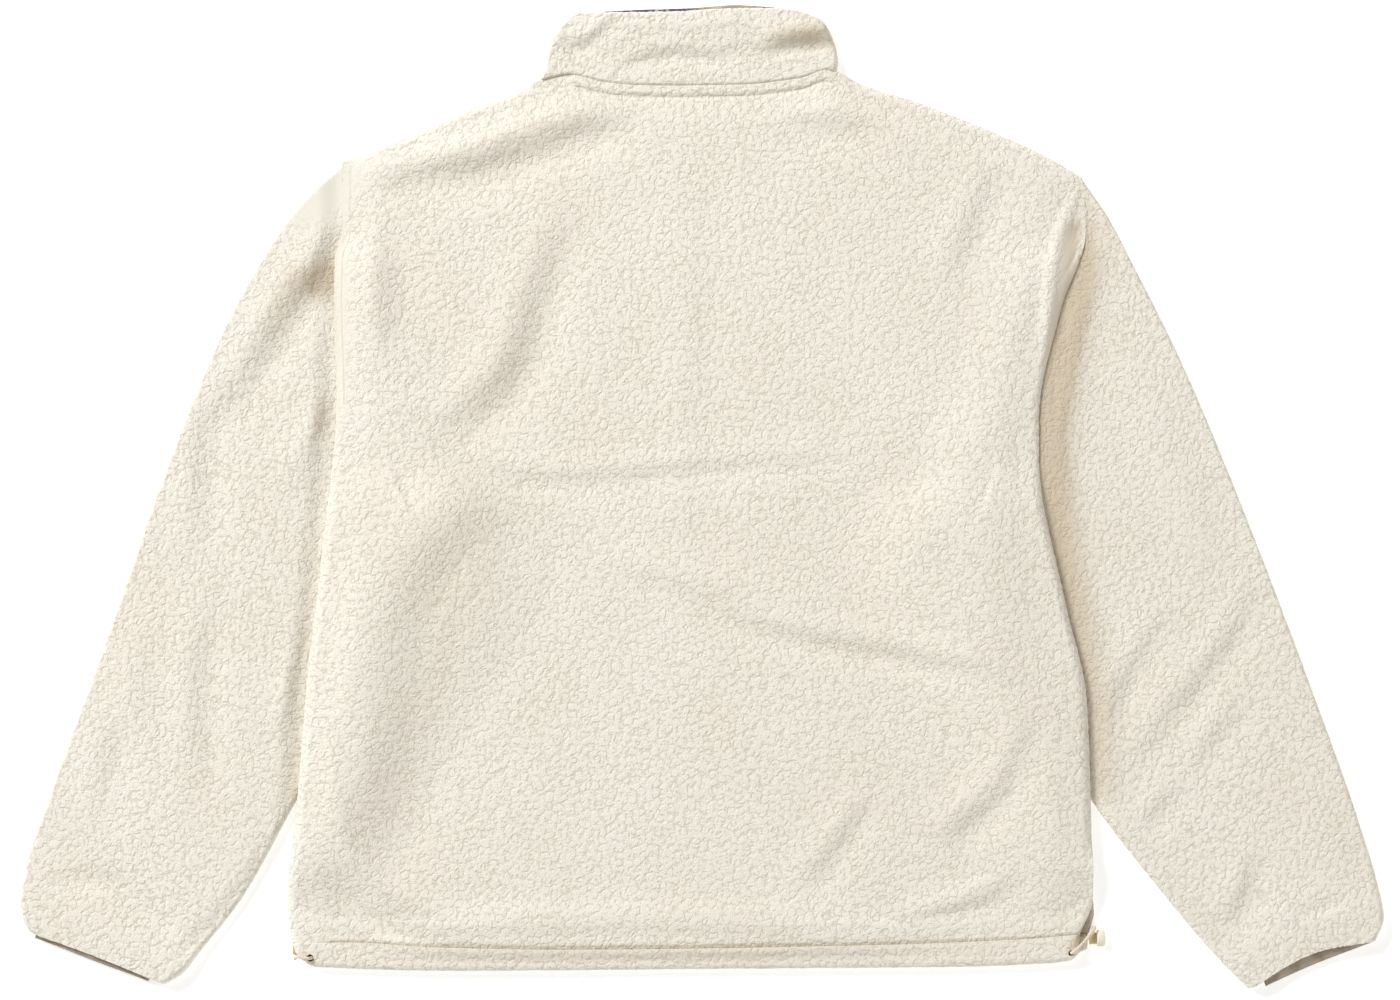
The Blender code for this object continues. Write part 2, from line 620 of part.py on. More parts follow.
def make_cuff_facing(name, side, material):
    """A woven band inside the cuff that shows as a narrow edge below the fleece."""
    start, end = Vector(side.cuff[0]), Vector(side.cuff[-1])
    along = (end - start).normalized()
    out = Vector((-along.y, along.x))
    if out.y > 0:
        out = -out
    first = start + along * (WALL + 0.8)
    last = end - along * (WALL + 9.0)
    mid = Vector(free_edge(side.cuff)(0.5))

    def across(shifts):
        points = [stop + out * shift for stop, shift in zip((first, mid, last), shifts)]
        return free_edge([Place(point.x, point.y) for point in points])

    inner, outer = across((-FACING_HELD,) * 3), across(side.facing_shows)
    patch = Patch(
        lambda v: inner(0).lerp(outer(0), v), lambda v: inner(1).lerp(outer(1), v), inner, outer
    )
    add_tube(
        name, patch, 8, 3, FACING, WALL + REST_GAP,
        lambda v: MOUTH_GAP - 2 * (FACING + REST_GAP), lying_flat,
        lambda u: side.mouth_bow * math.sin(math.pi * min(max(u, 0.0), 1.0)) ** 1.5, material,
    )


def collar_gap(v):
    """The collar's layers part towards its top."""
    return LAYER_GAP + (MOUTH_GAP - LAYER_GAP) * smooth_step((v - 0.3) / 0.3)


COLLAR_PATCH = Patch(
    free_edge(COLLAR_LEFT), free_edge(COLLAR_RIGHT), cross_edge(NECK, raised(SEAM_GAP)), cross_edge(COLLAR_TOP)
)


def make_collar(material):
    """The stand-up collar, folded flat above the neck seam."""
    columns = fractions([point.x for point in NECK[1:-1]], NECK[0].x, NECK[-1].x)
    add_tube("collar", COLLAR_PATCH, columns, 8, WALL, 0.0, collar_gap, collar_relief, no_bow, material)


def make_collar_facing(material):
    """The woven facing inside the collar, its edge just above the fleece."""
    low = [COLLAR_PATCH.at(u, 0.72) for u in (0.07, 0.3, 0.5, 0.7, 0.93)]
    high = [
        COLLAR_PATCH.at(u, 1.0) + Vector((0, rise))
        for u, rise in ((0.07, 0.2), (0.3, 1.3), (0.5, 1.6), (0.7, 2.2), (0.93, 0.4))
    ]
    inner = free_edge([Place(point.x, point.y) for point in low])
    outer = free_edge([Place(point.x, point.y) for point in high])
    patch = Patch(
        lambda v: inner(0).lerp(outer(0), v), lambda v: inner(1).lerp(outer(1), v), inner, outer
    )
    add_tube(
        "collar_facing", patch, 12, 3, FACING, WALL + REST_GAP,
        lambda v: MOUTH_GAP - 2 * (FACING + REST_GAP), lying_flat, no_bow, material,
    )


def make_casing(name, base, left, right, columns, material):
    """The turned hem of the front or of the back, a doubled strip with round outer edges."""
    patch = Patch(
        side_edge(left), side_edge(right),
        cross_edge(HEM_EDGE, raised(0.0), left[0].x, right[0].x),
        cross_edge(HEM_SEAM, raised(0.0), left[-1].x, right[-1].x),
    )
    steps = [0.0, 0.5, 1.4, CASING_TURN]
    rows = 1

    def face(column, row, top):
        u0 = column / (columns + 2 * len(steps) - 1)
        width, height = patch.width(0.5), patch.height(u0)
        u = spaced(width, steps, columns)[column]
        v = spaced(height, steps, rows)[row]
        point = patch.at(u, v)
        from_edge = min(u * width, (1 - u) * width, v * height)
        lift = fold_height(point, [LOCK_LIFT]) if base else 0.0
        rise = CASING * (1 - 0.55 * arc_fall(from_edge, CASING_TURN)) if top else 0.0
        return (point.x, point.y, base + lift + rise)

    return add_panel(
        name, columns + 2 * len(steps), rows + 2 * len(steps),
        lambda column, row: face(column, row, True),
        lambda column, row: face(column, row, False),
        material,
    )


def cylinder(name, centre, radius, length, axis, segments, material, flatten=1.0, bevel=0.0):
    """A cylinder along an axis, in millimetres, its height flattened."""
    mesh = bmesh.new()
    bmesh.ops.create_cone(
        mesh, cap_ends=True, segments=segments, radius1=radius * MM, radius2=radius * MM, depth=length * MM
    )
    if bevel:
        rims = [edge for edge in mesh.edges if abs(edge.verts[0].co.z - edge.verts[1].co.z) < 1e-9]
        bmesh.ops.bevel(
            mesh, geom=rims, offset=bevel * MM, segments=2, affect="EDGES", profile=0.5, clamp_overlap=True
        )
    turn = Vector((0, 0, 1)).rotation_difference(Vector(axis))
    for vertex in mesh.verts:
        vertex.co = turn @ vertex.co
        vertex.co.z *= flatten
        vertex.co += Vector(centre) * MM
    return add_object(name, mesh, material)


def cut(piece, cutter):
    """Cuts one piece with another, which then only guides."""
    cutters.objects.link(cutter)
    garment.objects.unlink(cutter)
    cutter.hide_render = True
    cutter.display_type = "WIRE"
    modifier = piece.modifiers.new("bore", "BOOLEAN")
    modifier.operation = "DIFFERENCE"
    modifier.object = cutter


def make_lock(word, corner, barrel_material, button_material):
    """A spring cord lock: the cord runs through its barrel, and the button is beside it."""
    x, y = corner.barrel
    height = corner.lock_height / 2 + REST_GAP
    across, along = BARREL
    flatten = corner.lock_height / BUTTON[1]
    barrel = cylinder(
        f"cord_lock_{word}", (x, y, height), along / 2, across, (1, 0, 0), 20, barrel_material, flatten, 1.0
    )
    route_height = corner.route[-1][2]
    hole = cylinder(
        f"lock_bore_{word}", (x, y, route_height), LOCK_BORE, 2 * along, (0, 1, 0), 16, barrel_material
    )
    cut(barrel, hole)
    middle = (x + across / 2 + REST_GAP + BUTTON[0] / 2, y, height)
    cylinder(
        f"lock_button_{word}", middle, BUTTON[1] / 2, BUTTON[0], (1, 0, 0), 20, button_material, flatten, 2.0
    )


def make_cord(word, corner, material):
    """The elastic drawcord, from inside the hem to inside its lock."""
    curve = bpy.data.curves.new(f"drawcord_{word}", "CURVE")
    curve.dimensions = "3D"
    curve.bevel_depth = CORD_RADIUS * MM
    curve.bevel_resolution = 2
    curve.use_fill_caps = True
    spline = curve.splines.new("POLY")
    route = smooth_route(corner.route, CORD_STEPS)
    spline.points.add(len(route) - 1)
    for point, place in zip(spline.points, route):
        point.co = (*(place * MM), 1.0)
    curve.materials.append(material)
    garment.objects.link(bpy.data.objects.new(f"drawcord_{word}", curve))


def make_cord_hole(word, corner, casing, material):
    """The hole in the hem casing that the cord leaves by."""
    x, y = corner.hole
    top = HEM_LAYER + CASING + fold_height(Vector((x, y)), [LOCK_LIFT])
    hole = cylinder(
        f"cord_hole_{word}", (x, y, top), corner.hole_radius, 2 * HOLE_DEPTH, (0, 0, 1), 16, material
    )
    cut(casing, hole)


def centre_on_footprint():
    """Moves the garment so that the middle of its footprint is the origin."""
    cloth = [piece for piece in garment.objects if piece.type == "MESH"]
    corners = [piece.matrix_world @ vertex.co for piece in cloth for vertex in piece.data.vertices]
    low = Vector([min(corner[axis] for corner in corners) for axis in range(3)])
    high = Vector([max(corner[axis] for corner in corners) for axis in range(3)])
    shift = (low + high) / 2
    for piece in list(garment.objects) + list(cutters.objects):
        piece.location -= Vector((shift.x, shift.y, low.z))


for old in list(bpy.data.objects):
    bpy.data.objects.remove(old, do_unlink=True)
garment = bpy.data.collections.new("sherpa_fleece_pullover")
cutters = bpy.data.collections.new("cutters")
bpy.context.scene.collection.children.link(garment)
bpy.context.scene.collection.children.link(cutters)

fleece = make_material("fleece", FLEECE, 0.95)
facing = make_material("facing", FACING_TAUPE, 0.8)
cord = make_material("cord", CORD_CREAM, 0.8)
ochre = make_material("lock", LOCK_OCHRE, 0.45)
cream = make_material("button", BUTTON_CREAM, 0.4)

make_front(fleece)
make_back(fleece)
make_sleeve("sleeve_left", LEFT, fleece)
make_sleeve("sleeve_right", RIGHT, fleece)
make_cuff_facing("cuff_facing_left", LEFT, facing)
make_cuff_facing("cuff_facing_right", RIGHT, facing)
make_collar(fleece)
make_collar_facing(facing)
back_casing = make_casing(
    "hem_casing_back", HEM_LAYER,
    [HEM_EDGE[0], HEM_SEAM[0]], [HEM_EDGE[-2], HEM_SEAM[-1]], 16, fleece,
)
make_casing(
    "hem_casing_front", 0.0,
    [Place(-292.6, -350.3), Place(-293.0, -332.2)], [HEM_EDGE[-1], Place(288.8, -327.2)], 12, fleece,
)
for side_name, corner_parts in (("left", LEFT_CORNER), ("right", RIGHT_CORNER)):
    make_lock(side_name, corner_parts, ochre, cream)
    make_cord(side_name, corner_parts, cord)
    make_cord_hole(side_name, corner_parts, back_casing, fleece)
centre_on_footprint()
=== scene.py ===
"""Looks of a sherpa fleece pullover laid flat on its front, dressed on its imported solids.

Lengths in the tables are in millimetres and the meshes are in metres. The garment lies on z = 0 with
its collar towards +Y. Left and right are those of someone who looks down on its back.
"""

import logging
import math
from dataclasses import dataclass
from enum import Enum
from typing import Callable, NamedTuple, Sequence

import bmesh
import bpy
import numpy as np
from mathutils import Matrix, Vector


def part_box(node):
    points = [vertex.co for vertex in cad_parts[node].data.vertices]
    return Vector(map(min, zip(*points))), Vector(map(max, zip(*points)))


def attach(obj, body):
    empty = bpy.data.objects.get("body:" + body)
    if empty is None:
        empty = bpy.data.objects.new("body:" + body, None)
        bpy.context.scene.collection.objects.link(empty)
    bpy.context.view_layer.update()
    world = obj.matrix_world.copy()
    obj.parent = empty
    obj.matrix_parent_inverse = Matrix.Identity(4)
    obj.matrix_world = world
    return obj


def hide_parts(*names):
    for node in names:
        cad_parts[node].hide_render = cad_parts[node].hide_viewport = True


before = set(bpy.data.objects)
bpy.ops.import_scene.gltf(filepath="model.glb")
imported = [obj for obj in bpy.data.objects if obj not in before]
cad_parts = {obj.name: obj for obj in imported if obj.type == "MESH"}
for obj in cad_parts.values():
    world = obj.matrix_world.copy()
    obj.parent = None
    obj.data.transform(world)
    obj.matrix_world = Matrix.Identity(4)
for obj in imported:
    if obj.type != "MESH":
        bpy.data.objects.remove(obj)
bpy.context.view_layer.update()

Array = np.ndarray
Edge = Callable[[Array], Array]
Colour = tuple[float, float, float, float]

MM = 0.001
WALL = 4.0
SEAM_GAP = -0.3
LAYER_GAP = 0.6
REST_GAP = 0.3
FLAT_TUBE = 2 * WALL + LAYER_GAP
ON_SLEEVE = FLAT_TUBE + REST_GAP
MOUTH_GAP = 3.0
TURN = 8.0
INNER_TURN = 1.2
CASING = 6.1
HEM_LAYER = CASING + REST_GAP + 0.1
FACING = 0.9
FRONT_INSET = WALL + 3.0
UNDERARM_Y = -45.4
FRONT_NOTCH_Y = -118.0
HOLE_DEPTH = 5.1
NO_SEAM = 100.0
STEP_GAIN = 2.33
HEM_RISE_Y = -296.0
HEM_CUT = 24.0

log = logging.getLogger("pullover")


class Slot(Enum):
    """What a piece is made of, as the record names it."""

    FLEECE = "fleece"
    FACING = "facing"
    CORD = "cord"


class Place(NamedTuple):
    """A place on the ground, seen from above."""

    x: float
    y: float


@dataclass(frozen=True)
class Crease:
    """A soft ridge, or a trough where its heights are negative.

    Each row of path is x, y and the height there. A step is high on the left of its path and low on
    the right.
    """

    path: tuple[tuple[float, float, float], ...]
    width: float
    step: bool = False


@dataclass(frozen=True)
class Side:
    """Outline of one sleeve, pressed flat."""

    outer: tuple[Place, ...]
    armhole: tuple[Place, ...]
    inner: tuple[Place, ...]
    cuff: tuple[Place, ...]
    mouth_bow: float
    facing_shows: tuple[float, float, float]


@dataclass(frozen=True)
class Corner:
    """A lower corner of the body, with its drawcord, the hole it leaves by and its cord lock."""

    hole: Place
    hole_radius: float
    route: tuple[tuple[float, float, float], ...]
    barrel: Place
    lock_height: float


def places(*pairs: tuple[float, float]) -> tuple[Place, ...]:
    """Turns pairs of numbers into places."""
    return tuple(Place(*pair) for pair in pairs)


HEM_SEAM = places((-306.8, -332.6), (-262, -332.6), (-200, -336.2), (-107, -337.9), (111, -334.9),
                  (236, -330.4), (283.9, -326.6))
SHOULDER_LEFT = places((-269.6, 252.4), (-242, 266.2), (-212, 277.8), (-182, 291.6), (-152, 302.2),
                       (-121.9, 314.2))
NECK = places((-121.9, 314.2), (-99, 319.0), (-74, 313.4), (-48, 310.9), (-20, 310.5), (8, 310.9),
              (36, 311.5), (56, 313.6), (75, 316.4), (93, 322.2), (101.5, 320.6))
SHOULDER_RIGHT = places((101.5, 320.6), (122, 311.6), (159, 300.0), (219, 276.4), (253, 261.2), (270, 251.6),
                        (286.2, 240.4))
BACK_LEFT = places((-306.8, -332.6), (-311.4, -305), (-303.4, -225), (-296, -135), (-285.4, -45),
                   (-274.1, 75), (-276, 150), (-275.2, 180), (-269.6, 200), (-269.6, 252.4))
BACK_RIGHT = places((283.9, -326.6), (293.6, -300), (292.1, -225), (289.1, -150), (272.6, -75),
                    (253.4, 30), (253.4, 60), (269.6, 142), (288.2, 200), (286.2, 240.4))
HEM_EDGE = places((-304.1, -340.8), (-299.9, -345.4), (-289.9, -351.4), (-183, -354.4), (0, -353),
                  (193, -351.4), (264, -348.4), (278, -346.3), (283.0, -342), (290.4, -338.6))
FRONT_INSET_LEFT = [(-332.6, 15.5), (-322, 15.0), (-300, FRONT_INSET), (180, FRONT_INSET)]
FRONT_INSET_RIGHT = [(-326.6, -6.8), (-322, -7.0), (-317, -6.4), (-311, -4.0), (-303, -1.2), (-294, 0.6),
                     (-276, 4.0), (-262, FRONT_INSET), (180, FRONT_INSET)]
BACK_TURN_LEFT = [(-316, 0.0), (-292, 1.0), (176, 1.0), (196, 0.0)]
BACK_TURN_RIGHT = [(-272, 0.0), (-246, 1.0), (172, 1.0), (194, 0.0)]
BODY_TOP = SHOULDER_LEFT + NECK[1:] + SHOULDER_RIGHT[1:]
FRONT_LEVELS = (HEM_SEAM[0].y, SHOULDER_LEFT[0].y)
HEM_FRONT_CORNER = Place(-293.0, -326.6)
BODY_OUTLINE = BACK_LEFT + SHOULDER_LEFT[1:] + SHOULDER_RIGHT + BACK_RIGHT[::-1] + HEM_SEAM[::-1]

LEFT = Side(
    outer=places((-269.2, 252.4), (-299, 224.6), (-321.4, 194.6), (-355.9, 134.6), (-400, 29.6),
                 (-447.4, -105), (-491.6, -225), (-508.9, -278), (-512.6, -300), (-510.4, -314),
                 (-504.4, -325.1)),
    armhole=places((-269.2, 252.4), (-269.2, 199), (-264.4, 150), (-251, 75), (-225.4, 7),
                   (-196.9, UNDERARM_Y)),
    inner=places((-196.9, UNDERARM_Y), (-303.4, -225.4), (-345, -300), (-374.6, -338), (-391, -358),
                 (-402, -364.2)),
    cuff=places((-504.4, -325.1), (-422, -357), (-402, -364.2)),
    mouth_bow=2.5,
    facing_shows=(3.0, 3.0, 3.0),
)
RIGHT = Side(
    outer=places((285.8, 240.4), (306.4, 209.6), (322.1, 179.6), (359.6, 104.6), (409.9, -15.4),
                 (461, -150), (493.1, -240), (510.4, -300), (512.6, -314), (506.6, -331.1)),
    armhole=places((285.8, 240.4), (287.8, 200), (279, 178), (258, 142), (238, 75), (216, 7),
                   (193.1, -48.2)),
    inner=places((193.1, -48.2), (292.1, -225.4), (349, -300), (377.6, -334), (396.4, -354.4),
                 (410.6, -367.9)),
    cuff=places((506.6, -331.1), (450, -352), (410.6, -367.9)),
    mouth_bow=9.0,
    facing_shows=(0.8, 1.6, 3.0),
)

COLLAR_LEFT = places((-121.9, 314.2 + SEAM_GAP), (-119.0, 322.9), (-114.5, 342.4), (-108.2, 354.2),
                     (-96.4, 364.8))
COLLAR_RIGHT = places((101.5, 320.6 + SEAM_GAP), (103.1, 327.4), (102.2, 334.1), (98.4, 346.0),
                      (91.8, 358.2), (77.6, 365.4))
COLLAR_TOP = places((-96.4, 364.8), (-23, 365.6), (26, 368), (55, 368.2), (77.6, 365.4))

BACK_PUFF = 3.2
SLEEVE_PUFF = 3.0
COLLAR_PUFF = 2.2
LOCK_LIFT = (Crease(((-304, -337, 2.4), (-300, -337, 2.4)), 17),)

BACK_CREASES = (
    Crease(((-264, 238, 0), (-219, 246, 2.4), (-167, 252, 3.6), (-122, 268, 3.2), (-84, 280, 3.8),
            (-47, 286, 0)), 18, True),
    Crease(((-208, 51, 0), (-174, 66, 2.2), (-144, 96, 3.2), (-129, 138, 2.6), (-114, 183, 1.8),
            (-96, 225, 0)), 19.5, True),
    Crease(((-248, -285, 0), (-243, -225, 2.4), (-233, -165, 3.3), (-225, -113, 3.8), (-210, -68, 3.6),
            (-178, -23, 3.8), (-146, 18, 0)), 36, True),
    Crease(((-204, 45, 0), (-167, 27, 0.8), (-122, 17, 1.3), (-62, 18, 1.1), (-2, 25, 1), (66, 29, 0.7),
            (126, 33, 0)), 10.5, True),
    Crease(((-77, -50, 0), (-17, -66, 0.8), (36, -92, 1.5), (111, -109, 2.0), (186, -123, 1.4),
            (253, -141, 0)), 11.5, True),
    Crease(((58, 288, 0), (96, 282, 2.4), (137, 276, 0)), 14.5, True),
    Crease(((69, -297, 0), (92, -272, 1.4), (114, -240, 1.4), (133, -218, 0)), 13, True),
    Crease(((178, -263, 0), (197, -242, 2.3), (223, -218, 1.9), (240, -180, 1.3), (253, -150, 0)),
           15.5, True),
    Crease(((141, -329, 0), (171, -315, 1.9), (212, -300, 1.9), (246, -279, 0)), 11.5, True),
    Crease(((189, 161, 0), (197, 195, 1.4), (212, 232, 1.2), (223, 255, 0)), 15.5, True),
    Crease(((246, -173, 0), (238, -105, 1.7), (231, -30, 1.9), (223, 22, 1.3), (231, 75, 0)), 34, True),
    Crease(((-238, 93, 0), (-236, 135, 1.7), (-238, 180, 1.7), (-242, 213, 0)), 18, True),
    Crease(((-4, -83, 0), (-4, 37, 0.5), (-3, 150, 0.6), (-3, 270, 0)), 18, True),
    Crease(((-268, -229, 0), (-273, -192, 1.2), (-275, -154, 0)), 10.5, True),
    Crease(((-84, -33, 0), (-32, -47, 1.3), (28, -64, 1.3), (103, -84, 0.8), (148, -105, 0)), 11.5),
    Crease(((152, 97, 0), (163, 22, 1.7), (171, -53, 0)), 52),
)
EDGE_CREASES = (
    Crease(((254, 60, 0), (259, 120, 2.2), (261, 160, 3), (268, 196, 3), (284, 232, 1)), 5),
    Crease(((-231, -323, 0), (-197, -319, 2.4), (-137, -316, 3.4), (-47, -315, 3), (43, -316, 3.3),
            (118, -319, 2), (201, -323, 0)), 11),
    Crease(((-276, -218, 0), (-266, -259, 2), (-236, -293, 3.2), (-189, -312, 0)), 9),
    Crease(((-240, -336, 0), (-180, -337, 1.4), (-40, -337, 1.6), (100, -336, 1.4), (170, -335, 0)), 8),
    Crease(((-291, -263, 0), (-275, -291, -2.4), (-252, -314, -3.4), (-227, -327, -2.4), (-197, -333, 0)), 7),
)
SLEEVE_CREASES = (
    Crease(((-366, 52, 0), (-336, 101, 2.2), (-309, 142, 2.8), (-288, 168, 3.2), (-276, 178, 1.6)), 17, True),
    Crease(((-373, -229, 0), (-377, -180, 1.5), (-377, -120, 1.5), (-366, -60, 0)), 15.5, True),
    Crease(((-373, -45, 0), (-377, 0, 1.7), (-373, 52, 1.3), (-354, 82, 0)), 15.5, True),
    Crease(((-313, -184, 0), (-302, -143, 2), (-285, -90, 2), (-279, -45, 0)), 11.5, True),
    Crease(((-294, 18, 0), (-285, 52, 2), (-278, 78, 0)), 10.5, True),
    Crease(((-452, -252, 0), (-446, -195, 1.3), (-433, -150, 0)), 15.5, True),
    Crease(((-313, -4, 0), (-308, 33, 1.7), (-298, 63, 0)), 13),
    Crease(((-414, -75, 0), (-429, -143, 1.6), (-414, -210, 0)), 15.5),
    Crease(((-493, -289, 0), (-463, -287, -2), (-437, -291, -2.4), (-407, -319, -1.7), (-392, -330, 0)), 8),
    Crease(((-321, -248, 0), (-334, -278, -2.2), (-353, -304, -2.4), (-373, -327, -2), (-398, -347, 0)), 6),
    Crease(((302, -180, 0), (313, -143, 1.3), (332, -109, 1.2), (347, -84, 0)), 12, True),
    Crease(((321, -207, 0), (347, -165, 1.2), (373, -135, 1.6), (399, -98, 1.4), (420, -57, 0)), 13.5, True),
    Crease(((366, -207, 0), (384, -180, 1.1), (409, -147, 0)), 12, True),
    Crease(((390, -323, 0), (407, -293, 1.9), (412, -259, 0)), 13, True),
    Crease(((328, -252, 0), (343, -231, 1.3), (366, -210, 0)), 11.5, True),
    Crease(((441, -314, 0), (467, -306, -1.7), (489, -300, 0)), 6.5),
    Crease(((321, 127, 0), (336, 60, 2), (366, -15, 1.4), (381, -75, 0)), 18),
    Crease(((448, -210, 0), (471, -263, 1.5), (482, -293, 0)), 15.5),
)
COLLAR_CREASES = (
    Crease(((41, 336, 0), (60, 341, 2.8), (84, 344, 3.4), (104, 341, 0)), 10.5, True),
    Crease(((37, 322, 0), (62, 330, 1.8), (92, 332, 1.8), (105, 328, 0)), 5),
    Crease(((-107, 337, 0), (-88, 343, 1.4), (-73, 354, 1.2), (-62, 363, 0)), 7, True),
    Crease(((-69, 322, 0), (-47, 331, 1.1), (-17, 336, 1.4), (13, 333, 1), (32, 342, 0)), 7, True),
    Crease(((-84, 360, 0), (-39, 355, 1.2), (13, 357, 1.2), (58, 358, 0)), 7),
)
SHOULDER_PRESSED = Crease(((-250, 258, 0.6), (-282, 224, 1.1), (-300, 214, 0.8)), 16)
BACK_PRESSED = (
    Crease(((-271, 55, 0.3), (-270, 90, 0.8), (-270, 190, 0.9), (-274, 225, 1.0)), 6),
    Crease(((259, 75, 0.6), (266, 120, 1.0), (273, 160, 1.2), (277, 200, 0.9)), 6),
    SHOULDER_PRESSED,
)
BACK_SHADED = (
    Crease(((-274, 50, 0.2), (-276, 110, 0.5), (-277, 170, 0.5), (-272, 205, 0.1)), 4),
    Crease(((256, 60, 0.2), (263, 100, 0.5), (271, 150, 0.7), (280, 203, 0.9)), 6),
    Crease(((-236, -260, 0), (-226, -170, 0.14), (-212, -110, 0.16), (-186, -50, 0.2), (-160, -12, 0.16),
            (-138, 26, 0)), 42),
    Crease(((-194, 58, 0), (-162, 78, 0.16), (-138, 108, 0.18), (-122, 160, 0.12), (-108, 215, 0)), 24),
    Crease(((-250, 236, 0), (-200, 244, 0.12), (-130, 262, 0.16), (-70, 282, 0)), 18),
)
SLEEVE_SHADED = (
    Crease(((289, 214, 0.4), (285, 175, 1.2), (273, 120, 1.5), (263, 60, 1.4), (264, 20, 1.2),
            (270, -30, 1.0), (281, -90, 0.9), (294, -150, 0.7), (298, -215, 0.6)), 15),
    Crease(((-274, 180, 0.6), (-284, 164, 1.4), (-304, 158, 0.6), (-330, 120, 0.1)), 14),
    Crease(((-278, 84, 0), (-284, 62, 0.6), (-282, 30, 0.1), (-292, -60, 0.1), (-302, -130, 0.3),
            (-304, -222, 0.4)), 7),
)
COLLAR_SHADED = (
    Crease(((44, 340, 0.1), (60, 345, 0.6), (82, 347, 0.9), (100, 345, 0.5)), 10),
)

# Painted shadow in the gap between the collar's fleece and its facing.
FACING_SHADED = (
    Crease(((-72, 367, 0), (-66, 367, 1.5), (-12, 368, 1.5), (-6, 368, 0)), 8),
    Crease(((44, 369, 0), (50, 369, 1.4), (72, 369, 1.4), (78, 368, 0)), 6),
)
# Tan of the front's exposed inner side at the right hem corner, with painted shadow from the back's edge over
# it.
FRONT_SHADED = (Crease(((281, -334, 1.0), (286, -322, 1.0), (290, -312, 0.8), (293, -303, 0.3)), 6),)

CASING_SHADED = (
    Crease(((284, -336, 0.8), (286, -332, 1.2), (288, -327, 1.2)), 5),
    Crease(((273, -338.2, 0.3), (278, -335.4, 0.7), (283, -330, 1.0)), 2.4),
    Crease(((-240, -341, 0), (-180, -343, 0.3), (0, -342, 0.4), (100, -341, 0.3),
            (190, -338, 0.15), (260, -333, 0)), 5),
)

LEFT_CORNER = Corner(
    hole=Place(-293.2, -344.0),
    hole_radius=2.6,
    route=((-292.3, -343.9, 9.8), (-292.3, -343.9, 14.6), (-294.4, -343.9, 17.1), (-298.0, -343.3, 17.0),
           (-301.8, -342.8, 16.6), (-304.4, -343.8, 14.0), (-305.0, -344.8, 10.6), (-305.1, -345.5, 7.2),
           (-304.8, -344.9, 4.6), (-304.6, -342.6, 3.9), (-304.6, -336.6, 3.9)),
    barrel=Place(-304.6, -338.0),
    lock_height=7.2,
)
RIGHT_CORNER = Corner(
    hole=Place(276.9, -340.7),
    hole_radius=2.0,
    route=((277.3, -340.3, 8.4), (277.3, -340.3, 13.0), (278.4, -339.4, 15.2), (282.6, -335.9, 14.9),
           (287.5, -331.1, 13.2), (291.8, -325.9, 11.0), (294.8, -322.7, 8.8), (295.2, -321.6, 6.6),
           (294.4, -321.9, 5.0), (293.9, -324.4, 4.8), (293.8, -331.4, 4.8)),
    barrel=Place(293.8, -330.0),
    lock_height=9.0,
)


def table_origin() -> Array:
    """Where the tables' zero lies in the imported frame, in metres."""
    low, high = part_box("hem_casing_front")
    return np.array([low.x - HEM_FRONT_CORNER.x * MM, high.y - HEM_FRONT_CORNER.y * MM, 0.0])


ORIGIN = table_origin()


def smooth_step(value: Array) -> Array:
    """Eases from 0 to 1."""
    value = np.clip(value, 0.0, 1.0)
    return value * value * (3 - 2 * value)


class SmoothCurve:
    """A smooth curve through rows of a place and a value, which never swings past them."""

    def __init__(self, rows: Sequence[tuple[float, float]]) -> None:
        """Works out the curve's slopes.

        Args:
            rows: A place and the value there, in order of place.
        """
        self.places = np.array([row[0] for row in rows], float)
        self.values = np.array([row[1] for row in rows], float)
        slopes = np.diff(self.values) / np.diff(self.places)
        before, after = slopes[:-1], slopes[1:]
        same = before * after > 0
        inner = np.where(same, 2 * before * after / np.where(same, before + after, 1.0), 0.0)
        self.tangents = np.concatenate([slopes[:1], inner, slopes[-1:]])

    def __call__(self, place: Array) -> Array:
        """The curve's value at each place.

        Args:
            place: Where the curve is read; past its ends it stays level.

        Returns:
            The values.
        """
        place = np.clip(place, self.places[0], self.places[-1])
        index = np.clip(np.searchsorted(self.places, place, side="right") - 1, 0, len(self.places) - 2)
        step = self.places[index + 1] - self.places[index]
        t = (place - self.places[index]) / step
        leaving, arriving = (1 - t) ** 2, t * t
        start = (1 + 2 * t) * leaving * self.values[index] + t * leaving * step * self.tangents[index]
        end = arriving * (3 - 2 * t) * self.values[index + 1]
        return start + end - arriving * (1 - t) * step * self.tangents[index + 1]


def along_y(points: Sequence[Place]) -> SmoothCurve:
    """x as a smooth curve of y, from the lowest point to the highest."""
    rows = sorted((point.y, point.x) for point in points)
    return SmoothCurve(rows)


def side_edge(points: Sequence[Place], inset: Sequence[tuple[float, float]] = (), sign: int = 1) -> Edge:
    """An edge that runs up the garment, by 0 at its lower end to 1 at its upper one.

    Args:
        points: Places from the lower end to the upper one.
        inset: Rows of y and how far the edge lies inside those places.
        sign: 1 where inside is towards +X.

    Returns:
        The edge.
    """
    curve = SmoothCurve([(point.y, point.x) for point in points])
    inner = SmoothCurve(inset) if inset else None
    low, high = points[0].y, points[-1].y

    def edge(v: Array) -> Array:
        """The edge at each share of its height.

        Args:
            v: Shares, 0 to 1.

        Returns:
            The places.
        """
        y = low + (high - low) * v
        x = curve(y) + (sign * inner(y) if inner else 0.0)
        return np.stack([x, y], axis=-1)

    return edge


